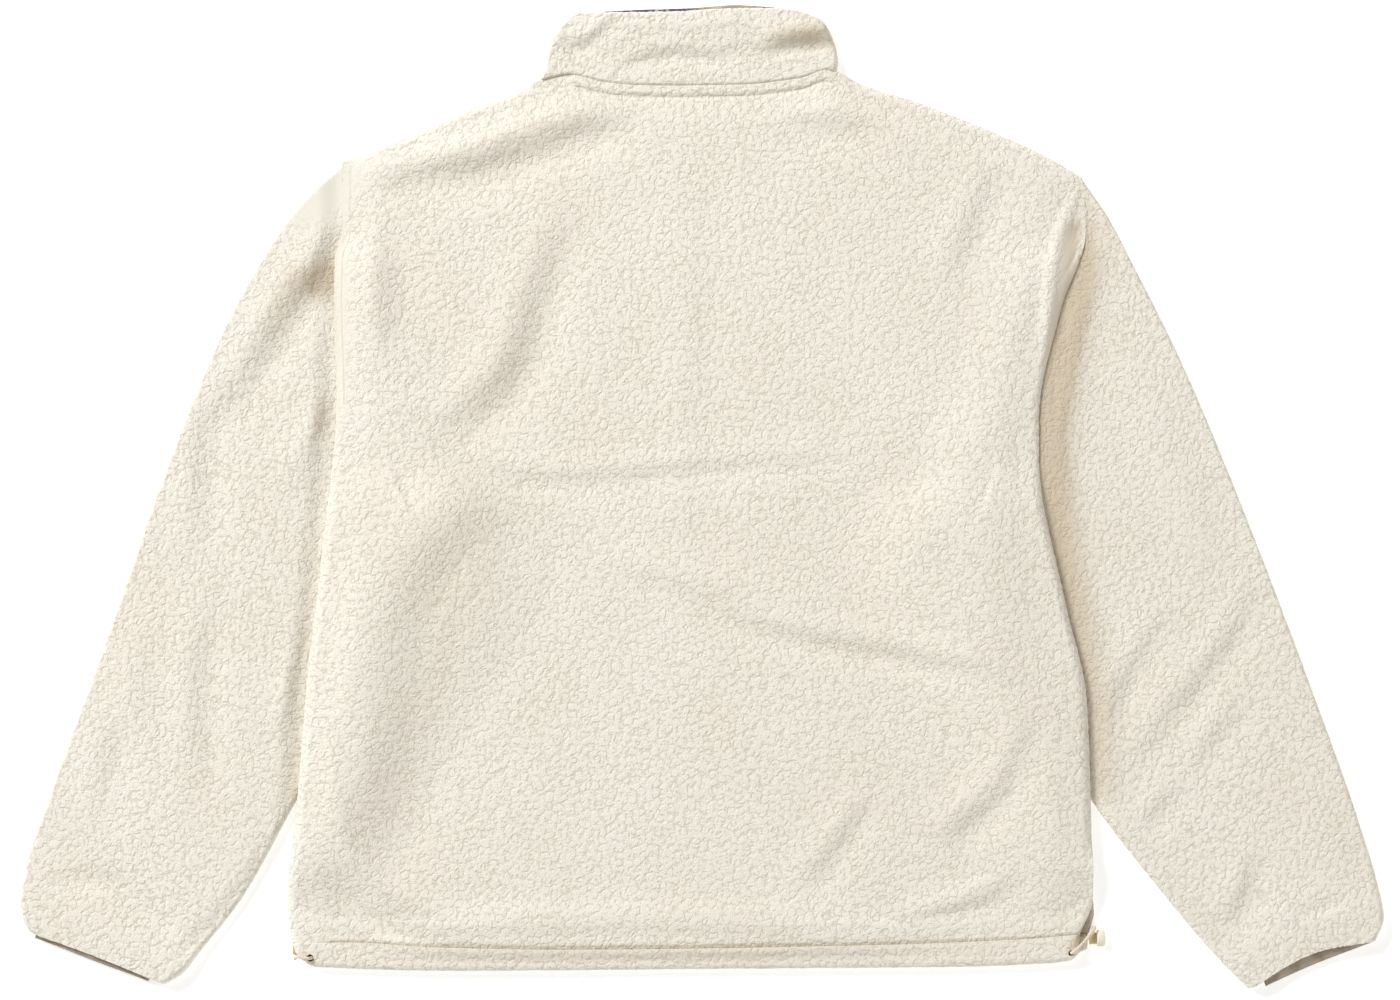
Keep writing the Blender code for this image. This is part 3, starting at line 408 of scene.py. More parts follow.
def cross_edge(
    points: Sequence[Place],
    shift: Callable[[Array], Array] | float = 0.0,
    low: float | None = None,
    high: float | None = None,
) -> Edge:
    """An edge that runs from left to right, or the stretch of it between two places.

    Args:
        points: Places from left to right.
        shift: How far the edge is moved up, the same all along or by x.
        low: Where the stretch starts.
        high: Where the stretch ends.

    Returns:
        The edge.
    """
    curve = SmoothCurve([(point.x, point.y) for point in points])
    start = points[0].x if low is None else low
    end = points[-1].x if high is None else high

    def edge(u: Array) -> Array:
        """The edge at each share of its length."""
        x = start + (end - start) * u
        return np.stack([x, curve(x) + (shift(x) if callable(shift) else shift)], axis=-1)

    return edge


def free_edge(points: Sequence[Place]) -> Edge:
    """An edge in any direction, measured along its own length.

    Args:
        points: Places along the edge.

    Returns:
        The edge.
    """
    steps = [math.dist(start, end) for start, end in zip(points, points[1:])]
    lengths = np.concatenate([[0.0], np.cumsum(steps)]) / sum(steps)
    across = SmoothCurve(list(zip(lengths, [point.x for point in points])))
    along = SmoothCurve(list(zip(lengths, [point.y for point in points])))
    return lambda t: np.stack([across(t), along(t)], axis=-1)


def straight(start: Array, end: Array) -> Edge:
    """The straight edge between two places."""
    return lambda t: start + (end - start) * np.asarray(t)[..., None]


class Patch:
    """A four-sided stretch of cloth: u runs from left to right and v from bottom to top."""

    def __init__(self, left: Edge, right: Edge, bottom: Edge, top: Edge) -> None:
        """Keeps the four edges, which meet at the corners."""
        self.left, self.right, self.bottom, self.top = left, right, bottom, top

    def at(self, u: Array, v: Array) -> Array:
        """The place at each u, v.

        Args:
            u: Shares of the way from left to right.
            v: Shares of the way from bottom to top.

        Returns:
            The places, blended from the four edges.
        """
        u, v = np.broadcast_arrays(np.asarray(u, float), np.asarray(v, float))
        across, up = u[..., None], v[..., None]
        zero, one = np.zeros_like(u), np.ones_like(u)
        edges = (1 - across) * self.left(v) + across * self.right(v)
        edges = edges + (1 - up) * self.bottom(u) + up * self.top(u)
        low = (1 - across) * self.left(zero) + across * self.right(zero)
        high = (1 - across) * self.left(one) + across * self.right(one)
        return edges - (1 - up) * low - up * high

    def width(self, v: Array | float) -> Array:
        """Length across the patch at v."""
        v = np.asarray(v, float)
        return np.linalg.norm(self.right(v) - self.left(v), axis=-1)

    def height(self, u: Array | float) -> Array:
        """Length up the patch at u."""
        u = np.asarray(u, float)
        return np.linalg.norm(self.top(u) - self.bottom(u), axis=-1)

    def area(self) -> float:
        """Flat area in square millimetres.

        Returns:
            The area of the patch pressed flat.
        """
        steps = np.linspace(0, 1, 61)
        grid = self.at(steps[None, :], steps[:, None])
        along, up = np.diff(grid, axis=1)[:-1], np.diff(grid, axis=0)[:, :-1]
        return float(np.abs(along[..., 0] * up[..., 1] - along[..., 1] * up[..., 0]).sum())


@dataclass(frozen=True)
class Spacing:
    """Steps across a face: some in millimetres from each edge, and even ones between them."""

    near: tuple[float, ...]
    between: int
    far: tuple[float, ...] = ()

    @property
    def count(self) -> int:
        """How many columns or rows there are."""
        return len(self.near) + self.between + len(self.far or self.near)

    def at(
        self, index: Array, length: Array | float, start: Array | float = 0.0, finish: Array | float = 0.0
    ) -> Array:
        """Fractions of a length, of which start and finish millimetres at its ends are left out.

        Args:
            index: Numbers of the columns or rows.
            length: The whole length in millimetres.
            start: What is left out at its near end.
            finish: What is left out at its far end.

        Returns:
            Shares of the length.
        """
        far = self.far or self.near
        near = np.array(self.near)
        last = np.array(far[::-1])
        first, inner = len(near), len(near) + self.between
        low = (start + near[np.clip(index, 0, first - 1)]) / length
        high = 1 - (finish + last[np.clip(index - inner, 0, len(last) - 1)]) / length
        a, b = near[-1] / length, 1 - last[0] / length
        middle = a + (b - a) * (index - first + 1) / (self.between + 1)
        return np.where(index < first, low, np.where(index >= inner, high, middle))


def distance_to(points: Array, line: Sequence[Place]) -> Array:
    """Distance from each point to a line of places.

    Args:
        points: Places on the ground, in the tables' millimetres.
        line: Places along the line.

    Returns:
        The distances.
    """
    best = np.full(points.shape[:-1], np.inf)
    for start, end in zip(line, line[1:]):
        first, stretch = np.array(start), np.subtract(end, start)
        away = points - first
        along = np.clip(away @ stretch / max(stretch @ stretch, 1e-9), 0.0, 1.0)
        best = np.minimum(best, np.linalg.norm(away - along[..., None] * stretch, axis=-1))
    return best


def inside(points: Array, outline: Sequence[Place]) -> Array:
    """Whether each point lies in a closed outline.

    Args:
        points: Places on the ground, in the tables' millimetres.
        outline: Corners of the outline, in order.

    Returns:
        True for each point inside.
    """
    found = np.zeros(points.shape[:-1], bool)
    x, y = points[..., 0], points[..., 1]
    for start, end in zip(outline, tuple(outline[1:]) + tuple(outline[:1])):
        if start[1] == end[1]:
            continue
        spans = (start[1] > y) != (end[1] > y)
        crossing = start[0] + (y - start[1]) / (end[1] - start[1]) * (end[0] - start[0])
        found ^= spans & (x < crossing)
    return found


def smooth_route(rows: Sequence[tuple[float, ...]], steps: int) -> Array:
    """Points on a smooth curve through a route's own rows.

    Args:
        rows: The route's own points.
        steps: How many points each stretch gets.

    Returns:
        The points, ending on the last row.
    """
    ends = np.array([rows[0], *rows, rows[-1]], float)
    route = []
    for before, start, end, after in zip(ends, ends[1:], ends[2:], ends[3:]):
        for index in range(steps):
            t = index / steps
            bend = (2 * before - 5 * start + 4 * end - after) * t * t
            twist = (3 * (start - end) + after - before) * t * t * t
            route.append(start + ((end - before) * t + bend + twist) / 2)
    return np.array(route + [ends[-1]])


def crease_height(points: Array, creases: Sequence[Crease]) -> Array:
    """Sum of the soft ridges, troughs and steps at each point.

    Args:
        points: Places on the ground, in the tables' millimetres.
        creases: What is summed.

    Returns:
        The height at each point, in millimetres.
    """
    total = np.zeros(len(points))
    for crease in creases:
        rows = smooth_route(crease.path, 4 if len(crease.path) > 2 else 1)
        reach = 2.6 * crease.width
        low, high = rows[:, :2].min(axis=0) - reach, rows[:, :2].max(axis=0) + reach
        near = np.flatnonzero(np.all((points > low) & (points < high), axis=1))
        here = points[near]
        best = np.full(len(near), np.inf)
        height, side = np.zeros(len(near)), np.zeros(len(near))
        for start, end in zip(rows, rows[1:]):
            stretch = end[:2] - start[:2]
            away = here - start[:2]
            along = np.clip(away @ stretch / max(stretch @ stretch, 1e-9), 0.0, 1.0)
            gap = np.linalg.norm(away - along[:, None] * stretch, axis=1)
            closer = gap < best
            best = np.where(closer, gap, best)
            height = np.where(closer, start[2] + along * (end[2] - start[2]), height)
            side = np.where(closer, np.sign(stretch[0] * away[:, 1] - stretch[1] * away[:, 0]), side)
        share = best / crease.width
        profile = np.exp(-(share ** 2))
        total[near] += height * profile * (STEP_GAIN * side * share if crease.step else 1.0)
    return total


def beyond(points: Array, side: Side, line: Sequence[Place], full: float, none: float) -> Array:
    """1 on the sleeve and out to full from its line, easing to 0 at none.

    Args:
        points: Places on the ground, in the tables' millimetres.
        side: The sleeve.
        line: The line it is measured from.
        full: Distance up to which it is 1.
        none: Distance from which it is 0.

    Returns:
        The shares.
    """
    outline = side.outer + side.cuff + side.inner[::-1] + side.armhole[::-1]
    eased = smooth_step((none - distance_to(points, line)) / (none - full))
    return np.where(inside(points, outline), 1.0, eased)


def hem_sewn(x: Array) -> Array:
    """How deep the hem's seam is sunk, from 0 at the left corner to 1."""
    return smooth_step((x + 301) / 34)


def over_sleeve(points: Array) -> Array:
    """1 over the lower edge of a sleeve and a little past it, easing to 0."""
    return np.maximum(*(beyond(points, side, side.inner, full=17, none=38) for side in (LEFT, RIGHT)))


def front_lift(points: Array) -> Array:
    """How far a sleeve under it lifts the front."""
    return ON_SLEEVE * over_sleeve(points) * smooth_step((UNDERARM_Y + 32 - points[:, 1]) / 28)


def back_lift(points: Array) -> Array:
    """How far the sleeves, and the front where it lies on them, lift the back.

    Args:
        points: Places on the ground, in the tables' millimetres.

    Returns:
        The lift at each point, in millimetres.
    """
    fade = band(points[:, 1], low=-318, high=UNDERARM_Y + 80, rise=44, fall=45)
    low = fade * np.maximum(*(
        beyond(points, side, side.inner, full=20, none=92) for side in (LEFT, RIGHT)
    ))
    high = np.maximum(*(
        beyond(points, side, side.armhole[1:], full=14, none=62) for side in (LEFT, RIGHT)
    ))
    high = high * smooth_step((202 - points[:, 1]) / 34)
    return ON_SLEEVE * low + (ON_SLEEVE - WALL - LAYER_GAP) * high * (1 - low)


def band(value: Array, low: float, high: float, rise: float, fall: float) -> Array:
    """1 between low and high, easing to 0 at them over rise and fall."""
    return smooth_step((value - low) / rise) * smooth_step((high - value) / fall)


def at_neck(x: Array) -> Array:
    """1 along the neck seam, easing to 0 past its ends."""
    return band(x, low=NECK[0].x - 14, high=NECK[-1].x + 14, rise=10, fall=10)


def within_shoulders(x: Array) -> Array:
    """0 at the body's upper corners, easing to 1 between them."""
    return band(x, low=BACK_LEFT[-1].x, high=BACK_RIGHT[-1].x, rise=26, fall=26)


def arc_fall(distance: Array, turn: Array | float) -> Array:
    """Share of the height lost at a distance from a rounded edge."""
    share = np.clip(distance / turn, 0.0, 1.0)
    return 1 - np.sqrt(np.maximum(1 - (1 - share) ** 2, 0.0))


def round_steps(turn: float, count: int) -> tuple[float, ...]:
    """Steps in from a rounded edge that follow its arc evenly."""
    angles = [math.pi / 2 * index / (count - 1) for index in range(count)]
    return tuple(turn * (1 - math.cos(angle)) for angle in angles)


def linear(red: int, green: int, blue: int) -> Colour:
    """A colour given in 8-bit steps as a screen shows it, as the shader takes it.

    Args:
        red: 0 to 255.
        green: 0 to 255.
        blue: 0 to 255.

    Returns:
        The colour, with full alpha.
    """
    def one(value: int) -> float:
        """One channel."""
        share = value / 255
        return share / 12.92 if share <= 0.04045 else ((share + 0.055) / 1.055) ** 2.4

    return (one(red), one(green), one(blue), 1.0)


Input = float | tuple | bpy.types.NodeSocket


class Wiring:
    """Adds and joins the nodes of one tree."""

    def __init__(self, tree: bpy.types.NodeTree) -> None:
        """Keeps the tree."""
        self.tree = tree

    def add(
        self, kind: str, inputs: dict[int | str, Input] | None = None, **settings: object
    ) -> bpy.types.Node:
        """Adds a node.

        Args:
            kind: The node's type.
            inputs: Its inputs by name or number: a value, or a socket to join.
            settings: Its own settings.

        Returns:
            The node.
        """
        node = self.tree.nodes.new(kind)
        for name, value in settings.items():
            setattr(node, name, value)
        for key, value in (inputs or {}).items():
            if isinstance(value, bpy.types.NodeSocket):
                self.tree.links.new(value, node.inputs[key])
            else:
                node.inputs[key].default_value = value
        return node

    def math(self, operation: str, a: Input, b: Input = 0.0) -> bpy.types.NodeSocket:
        """The result of a Math node."""
        return self.add("ShaderNodeMath", {0: a, 1: b}, operation=operation).outputs[0]

    def ease(
        self, value: Input, low: float, high: float, to_low: float = 0.0, to_high: float = 1.0
    ) -> bpy.types.NodeSocket:
        """A value eased from one range to another.

        Args:
            value: What is eased.
            low: Where the easing starts.
            high: Where it ends.
            to_low: The result at and below low.
            to_high: The result at and above high.

        Returns:
            The eased value's socket.
        """
        node = self.add(
            "ShaderNodeMapRange",
            {"Value": value, "From Min": low, "From Max": high, "To Min": to_low, "To Max": to_high},
            interpolation_type="SMOOTHSTEP",
        )
        return node.outputs["Result"]

    def vector(self, operation: str, inputs: dict[int | str, Input]) -> bpy.types.NodeSocket:
        """The result of a Vector Math node."""
        return self.add("ShaderNodeVectorMath", inputs, operation=operation).outputs[0]

    def blend(self, share: Input, first: Input, second: Input) -> bpy.types.NodeSocket:
        """A mix of two colours."""
        node = self.add("ShaderNodeMix", {0: share, 6: first, 7: second}, data_type="RGBA")
        return node.outputs[2]

    def noise(self, place: Input, size: float, detail: float = 2.0) -> bpy.types.Node:
        """A noise whose features are size millimetres across."""
        return self.add("ShaderNodeTexNoise", {"Vector": place, "Scale": 1 / (size * MM), "Detail": detail})


@dataclass(frozen=True)
class Pile:
    """Sherpa pile: rounded clumps with narrow cracks between them. Lengths are in millimetres."""

    clump: float = 5.2
    warp: float = 3.8
    warp_size: float = 4.6
    small_clump: float = 2.8
    relief: float = 0.45

    def wire(
        self, wiring: Wiring, place: bpy.types.NodeSocket
    ) -> tuple[bpy.types.NodeSocket, bpy.types.NodeSocket]:
        """Adds the pattern to a tree.

        Args:
            wiring: The tree.
            place: Socket with the place on the piece.

        Returns:
            The pile's height, from 0 in the gaps between clumps to 1 on a clump, and the mask of painted
            shade in those gaps.
        """
        wander = wiring.noise(place, self.warp_size, 2.0).outputs["Color"]
        centred = wiring.vector("SUBTRACT", {0: wander, 1: (0.5, 0.5, 0.5)})
        moved = wiring.vector("SCALE", {0: centred, "Scale": self.warp * MM})
        moved = wiring.vector("ADD", {0: place, 1: moved})
        edges = []
        for size in (self.clump, self.small_clump):
            inputs = {"Vector": moved, "Scale": 1 / (size * MM)}
            cells = wiring.add("ShaderNodeTexVoronoi", inputs, feature="DISTANCE_TO_EDGE")
            edges.append(cells.outputs["Distance"])
        open_here = wiring.ease(wiring.noise(place, 4.0, 2.0).outputs["Fac"], 0.36, 0.62)
        clumps = wiring.ease(edges[0], 0.0, 0.26)
        small = wiring.ease(edges[1], 0.0, 0.22, 0.7, 1.0)
        filled = wiring.math("MULTIPLY", wiring.math("SUBTRACT", 1.0, clumps), open_here)
        height = wiring.math("MULTIPLY", wiring.math("SUBTRACT", 1.0, filled), small)
        # Painted shade in the cracks between clumps, shown where the noise opens them.
        crack_shade = wiring.math("MULTIPLY", wiring.ease(edges[0], 0.0, 0.16, 1.0, 0.0), open_here)
        return height, crack_shade

    def relief_group(self) -> bpy.types.NodeTree:
        """Geometry nodes that sink a piece's surface in the cracks of its pile.

        Returns:
            The node group.
        """
        tree = bpy.data.node_groups.new("pile_relief", "GeometryNodeTree")
        tree.interface.new_socket(name="Geometry", in_out="INPUT", socket_type="NodeSocketGeometry")
        tree.interface.new_socket(name="Geometry", in_out="OUTPUT", socket_type="NodeSocketGeometry")
        wiring = Wiring(tree)
        given = wiring.add("NodeGroupInput").outputs["Geometry"]
        place = wiring.add("GeometryNodeInputPosition").outputs[0]
        height, _ = self.wire(wiring, place)
        free = wiring.add("GeometryNodeInputNamedAttribute", {"Name": "relief"}, data_type="FLOAT")
        sunk = wiring.ease(height, 0.0, 1.0, -self.relief * MM, 0.0)
        depth = wiring.math("MULTIPLY", sunk, free.outputs[0])
        out = wiring.add("GeometryNodeInputNormal").outputs[0]
        offset = wiring.vector("SCALE", {0: out, "Scale": depth})
        moved = wiring.add("GeometryNodeSetPosition", {"Geometry": given, "Offset": offset})
        wiring.add("NodeGroupOutput", {"Geometry": moved.outputs["Geometry"]})
        return tree

    def shader_group(self) -> bpy.types.NodeTree:
        """Shader group that gives the pile's height and the mask of painted shade in its cracks.

        Returns:
            The node group.
        """
        tree = bpy.data.node_groups.new("sherpa_pile", "ShaderNodeTree")
        tree.interface.new_socket(name="Place", in_out="INPUT", socket_type="NodeSocketVector")
        tree.interface.new_socket(name="Height", in_out="OUTPUT", socket_type="NodeSocketFloat")
        tree.interface.new_socket(name="CrackShade", in_out="OUTPUT", socket_type="NodeSocketFloat")
        wiring = Wiring(tree)
        given = wiring.add("NodeGroupInput").outputs["Place"]
        height, crack_shade = self.wire(wiring, given)
        fibres = wiring.noise(given, 1.1, 3.0).outputs["Fac"]
        fluffy = wiring.math("ADD", height, wiring.math("MULTIPLY", fibres, 0.28))
        wiring.add("NodeGroupOutput", {"Height": fluffy, "CrackShade": crack_shade})
        return tree


def new_material(name: str) -> tuple[bpy.types.Material, Wiring, bpy.types.Node]:
    """A material, its wiring and its Principled shader.

    Args:
        name: The material's name.

    Returns:
        The three of them, for a finish to join up.
    """
    material = bpy.data.materials.new(name)
    material.use_nodes = True
    return material, Wiring(material.node_tree), material.node_tree.nodes["Principled BSDF"]


@dataclass(frozen=True)
class FleeceFinish:
    """Cream sherpa fleece."""

    pile: Pile
    light: Colour = linear(243, 239, 228)
    warm: Colour = linear(241, 235, 223)
    # Painted shade in the pile's cracks.
    crack_shade: Colour = linear(218, 209, 190)
    # Painted shade in the sewn lines' grooves.
    seam: Colour = linear(216, 207, 191)
    shade: Colour = linear(200, 184, 159)
    # Painted deep shade inside the cord holes.
    deep: Colour = linear(84, 68, 50)

    def make(self) -> bpy.types.Material:
        """The material: soft random tones of cream, with painted shade in cracks, seam grooves, shaded marks
        and holes.

        Returns:
            The fleece.
        """
        material, wiring, shader = new_material("sherpa_fleece")
        place = wiring.add("ShaderNodeTexCoord").outputs["Object"]
        group = wiring.add("ShaderNodeGroup", {"Place": place}, node_tree=self.pile.shader_group())
        marks = {
            name: wiring.add("ShaderNodeAttribute", attribute_name=name).outputs["Fac"]
            for name in ("seam", "pile", "shade")
        }
        patches = wiring.ease(wiring.noise(place, 90.0, 2.0).outputs["Fac"], 0.3, 0.7)
        cream = wiring.blend(patches, self.light, self.warm)
        strength = wiring.ease(wiring.noise(place, 50.0, 1.0).outputs["Fac"], 0.3, 0.7, 0.55, 0.8)
        strength = wiring.math("MULTIPLY", strength, marks["pile"])
        # Painted shade in the pile's cracks, weaker where the pile is pressed.
        crack_shaded = wiring.blend(wiring.math("MULTIPLY", group.outputs["CrackShade"], strength), cream, self.crack_shade)
        valley = wiring.ease(marks["seam"], 0.1, 1.9, 1.0, 0.0)
        # Painted shade along the sewn lines, darkest in their grooves.
        sewn = wiring.blend(wiring.math("MULTIPLY", valley, 0.6), crack_shaded, self.seam)
        share = wiring.math("MULTIPLY", wiring.math("MINIMUM", marks["shade"], 1.0), 0.85)
        shaded = wiring.blend(share, sewn, self.shade)
        # Painted deep shade where the shade mark passes 1.2, which only the cord holes' walls reach.
        shaded = wiring.blend(wiring.ease(marks["shade"], 1.2, 2.0), shaded, self.deep)
        pile = wiring.math("MULTIPLY", group.outputs["Height"], marks["pile"])
        height = wiring.math("SUBTRACT", pile, valley)
        bump = wiring.add("ShaderNodeBump", {"Height": height, "Distance": 0.9 * MM, "Strength": 0.62})
        wiring.tree.links.new(shaded, shader.inputs["Base Color"])
        wiring.tree.links.new(bump.outputs[0], shader.inputs["Normal"])
        shader.inputs["Roughness"].default_value = 0.95
        shader.inputs["Specular IOR Level"].default_value = 0.2
        shader.inputs["Sheen Weight"].default_value = 0.12
        shader.inputs["Sheen Roughness"].default_value = 0.6
        return material


@dataclass(frozen=True)
class FacingFinish:
    """Smooth woven taupe cloth."""

    colour: Colour = linear(206, 192, 174)
    shade: Colour = linear(172, 158, 142)
    # Painted shadow in the gap below the collar's fleece edge.
    dark: Colour = linear(92, 90, 98)

    def make(self) -> bpy.types.Material:
        """The material, with a fine weave, random tone patches and a painted shadow line below the collar's
        fleece edge.

        Returns:
            The facing cloth.
        """
        material, wiring, shader = new_material("taupe_facing")
        place = wiring.add("ShaderNodeTexCoord").outputs["Object"]
        waves = [
            wiring.add(
                "ShaderNodeTexWave", {"Vector": place, "Scale": 640.0}, bands_direction=axis
            ).outputs["Fac"]
            for axis in ("X", "Y")
        ]
        weave = wiring.math("MAXIMUM", *waves)
        patches = wiring.ease(wiring.noise(place, 9.0, 3.0).outputs["Fac"], 0.35, 0.65)
        broken = wiring.ease(wiring.noise(place, 3.2, 2.0).outputs["Fac"], 0.38, 0.5)
        # Painted shadow where the facing meets the collar's fleece, broken up by noise.
        painted_gap_shadow = wiring.add("ShaderNodeAttribute", attribute_name="shade").outputs["Fac"]
        cloth = wiring.blend(patches, self.colour, self.shade)
        cloth = wiring.blend(wiring.math("MULTIPLY", painted_gap_shadow, broken), cloth, self.dark)
        wiring.tree.links.new(cloth, shader.inputs["Base Color"])
        bump = wiring.add("ShaderNodeBump", {"Height": weave, "Distance": 0.15 * MM, "Strength": 0.5})
        wiring.tree.links.new(bump.outputs[0], shader.inputs["Normal"])
        shader.inputs["Roughness"].default_value = 0.75
        return material


@dataclass(frozen=True)
class CordFinish:
    """Cream elastic cord with a braided cover."""

    colour: Colour = linear(241, 232, 215)
    shade: Colour = linear(214, 199, 175)

    def make(self) -> bpy.types.Material:
        """The material, with the braid's strands.

        Returns:
            The cord's cover.
        """
        material, wiring, shader = new_material("braided_cord")
        place = wiring.add("ShaderNodeTexCoord").outputs["Object"]
        cells = wiring.add("ShaderNodeTexVoronoi", {"Vector": place, "Scale": 1150.0}, feature="F1")
        strands = cells.outputs["Distance"]
        # Painted shade in the grooves between the braid's strands.
        cover = wiring.blend(wiring.ease(strands, 0.25, 0.75), self.colour, self.shade)
        wiring.tree.links.new(cover, shader.inputs["Base Color"])
        bump = wiring.add("ShaderNodeBump", {"Height": strands, "Distance": -0.25 * MM, "Strength": 0.7})
        wiring.tree.links.new(bump.outputs[0], shader.inputs["Normal"])
        shader.inputs["Roughness"].default_value = 0.8
        return material


@dataclass(frozen=True)
class PlasticFinish:
    """Moulded matte plastic."""

    name: str
    colour: Colour
    shade: Colour

    def make(self) -> bpy.types.Material:
        """The material, with a fine mould grain and a little wear.

        Returns:
            The plastic.
        """
        material, wiring, shader = new_material(self.name)
        place = wiring.add("ShaderNodeTexCoord").outputs["Object"]
        grain = wiring.noise(place, 0.5, 2.0).outputs["Fac"]
        patches = wiring.ease(wiring.noise(place, 5.0, 3.0).outputs["Fac"], 0.3, 0.75)
        wiring.tree.links.new(wiring.blend(patches, self.colour, self.shade), shader.inputs["Base Color"])
        bump = wiring.add("ShaderNodeBump", {"Height": grain, "Distance": 0.05 * MM, "Strength": 0.4})
        wiring.tree.links.new(bump.outputs[0], shader.inputs["Normal"])
        shader.inputs["Roughness"].default_value = 0.50
        return material


def to_metres(points: Array) -> Array:
    """Turns places in a table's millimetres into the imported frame's metres."""
    return points * MM + ORIGIN


def add_grid(
    mesh: bmesh.types.BMesh, columns: int, rows: int, place: Callable[[Array, Array], Array]
) -> Array:
    """Adds a grid of cloth.

    Args:
        mesh: The mesh it goes in.
        columns: How many columns.
        rows: How many rows.
        place: Gives the places of crossings, from their columns and rows.

    Returns:
        The grid's vertices, by row and column.
    """
    made = bmesh.ops.create_grid(mesh, x_segments=columns - 1, y_segments=rows - 1, size=0.5)["verts"]
    share = np.array([vertex.co[:2] for vertex in made]) + 0.5
    column = np.rint(share[:, 0] * (columns - 1)).astype(int)
    row = np.rint(share[:, 1] * (rows - 1)).astype(int)
    for vertex, point in zip(made, to_metres(place(column, row))):
        vertex.co = point
    crossings = np.empty((rows, columns), object)
    crossings[row, column] = made
    return crossings


def close_round(mesh: bmesh.types.BMesh, crossings: Array) -> tuple[list, list]:
    """Welds a grid's last column to its first, and returns its first and last rows.

    Args:
        mesh: The mesh that holds the grid.
        crossings: The grid's vertices, by row and column.

    Returns:
        The first and the last row.
    """
    mesh.verts.index_update()
    bmesh.ops.weld_verts(mesh, targetmap=dict(zip(crossings[:, -1], crossings[:, 0])))
    return list(crossings[0, :-1]), list(crossings[-1, :-1])


def bridge_rows(mesh: bmesh.types.BMesh, first: list, second: list) -> None:
    """Joins two closed rows of vertices with faces.

    Args:
        mesh: The mesh that holds both.
        first: One closed row.
        second: The other one.
    """
    chosen = set(first) | set(second)
    edges = {
        edge for vertex in chosen for edge in vertex.link_edges
        if edge.is_boundary and edge.other_vert(vertex) in chosen
    }
    bmesh.ops.bridge_loops(mesh, edges=list(edges))


def apply_modifiers(piece: bpy.types.Object) -> None:
    """Puts what an object's modifiers make in place of its mesh.

    Args:
        piece: The object.
    """
    graph = bpy.context.evaluated_depsgraph_get()
    made = bpy.data.meshes.new_from_object(piece.evaluated_get(graph))
    plain = piece.data
    piece.modifiers.clear()
    piece.data = made
    bpy.data.meshes.remove(plain)


@dataclass
class Cloth:
    """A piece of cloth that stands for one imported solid."""

    name: str
    node: str
    slot: Slot = Slot.FLEECE
    relief: bpy.types.NodeTree | None = None
    pressed: Sequence[Crease] = ()
    shaded: Sequence[Crease] = ()

    def shape(self) -> bmesh.types.BMesh:
        """The piece's mesh, in metres."""
        raise NotImplementedError

    def seam_distance(self, points: Array) -> Array:
        """Distance to the nearest sewn line at each place, in millimetres."""
        hem = 0.6 * distance_to(points[:, :2], HEM_SEAM) + 2.0 * (1 - hem_sewn(points[:, 0]))
        return np.minimum(hem, 0.8 * distance_to(points[:, :2], NECK) + 0.6)

    def marks(self, points: Array) -> dict[str, Array]:
        """What its finish reads at each vertex: sewn lines, how full the pile is, and how shaded.

        Args:
            points: Places of the vertices, in the tables' millimetres.

        Returns:
            A value for each vertex, by the attribute's name.
        """
        sewn = np.minimum.reduce([
            distance_to(points[:, :2], line) for line in (HEM_SEAM, NECK, LEFT.armhole, RIGHT.armhole)
        ])
        full = 1 - np.clip(crease_height(points[:, :2], self.pressed), 0.0, 1.0)
        return {
            "seam": self.seam_distance(points),
            "pile": full,
            "relief": full * smooth_step(sewn / 3.0),
            "shade": np.clip(crease_height(points[:, :2], self.shaded), 0.0, 1.0),
        }

    def make(self, material: bpy.types.Material) -> bpy.types.Object:
        """Builds the piece and dresses it in its finish.

        Args:
            material: Its finish.

        Returns:
            The finished object.
        """
        mesh = self.shape()
        bmesh.ops.recalc_face_normals(mesh, faces=mesh.faces)
        data = bpy.data.meshes.new(self.name)
        mesh.to_mesh(data)
        mesh.free()
        data.shade_smooth()
        piece = bpy.data.objects.new(self.name, data)
        bpy.context.scene.collection.objects.link(piece)
        self.cut_holes(piece)
        data = piece.data
        places_of = np.empty(len(data.vertices) * 3)
        data.vertices.foreach_get("co", places_of)
        table = (places_of.reshape(-1, 3) - ORIGIN) / MM
        for name, values in self.marks(table).items():
            data.attributes.new(name, "FLOAT", "POINT").data.foreach_set("value", values)
        data.materials.append(material)
        if self.relief:
            self.sink_cracks(piece)
        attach(piece, "root")
        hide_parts(self.node)
        log.info("%s: %d faces", self.name, len(piece.data.polygons))
        return piece

    def cut_holes(self, piece: bpy.types.Object) -> None:
        """Cuts what passes through the piece. Most pieces have no hole."""

    def sink_cracks(self, piece: bpy.types.Object) -> None:
        """Applies the pile's relief to the mesh.

        Args:
            piece: The object.
        """
        modifier = piece.modifiers.new("pile", "NODES")
        modifier.node_group = self.relief
        apply_modifiers(piece)


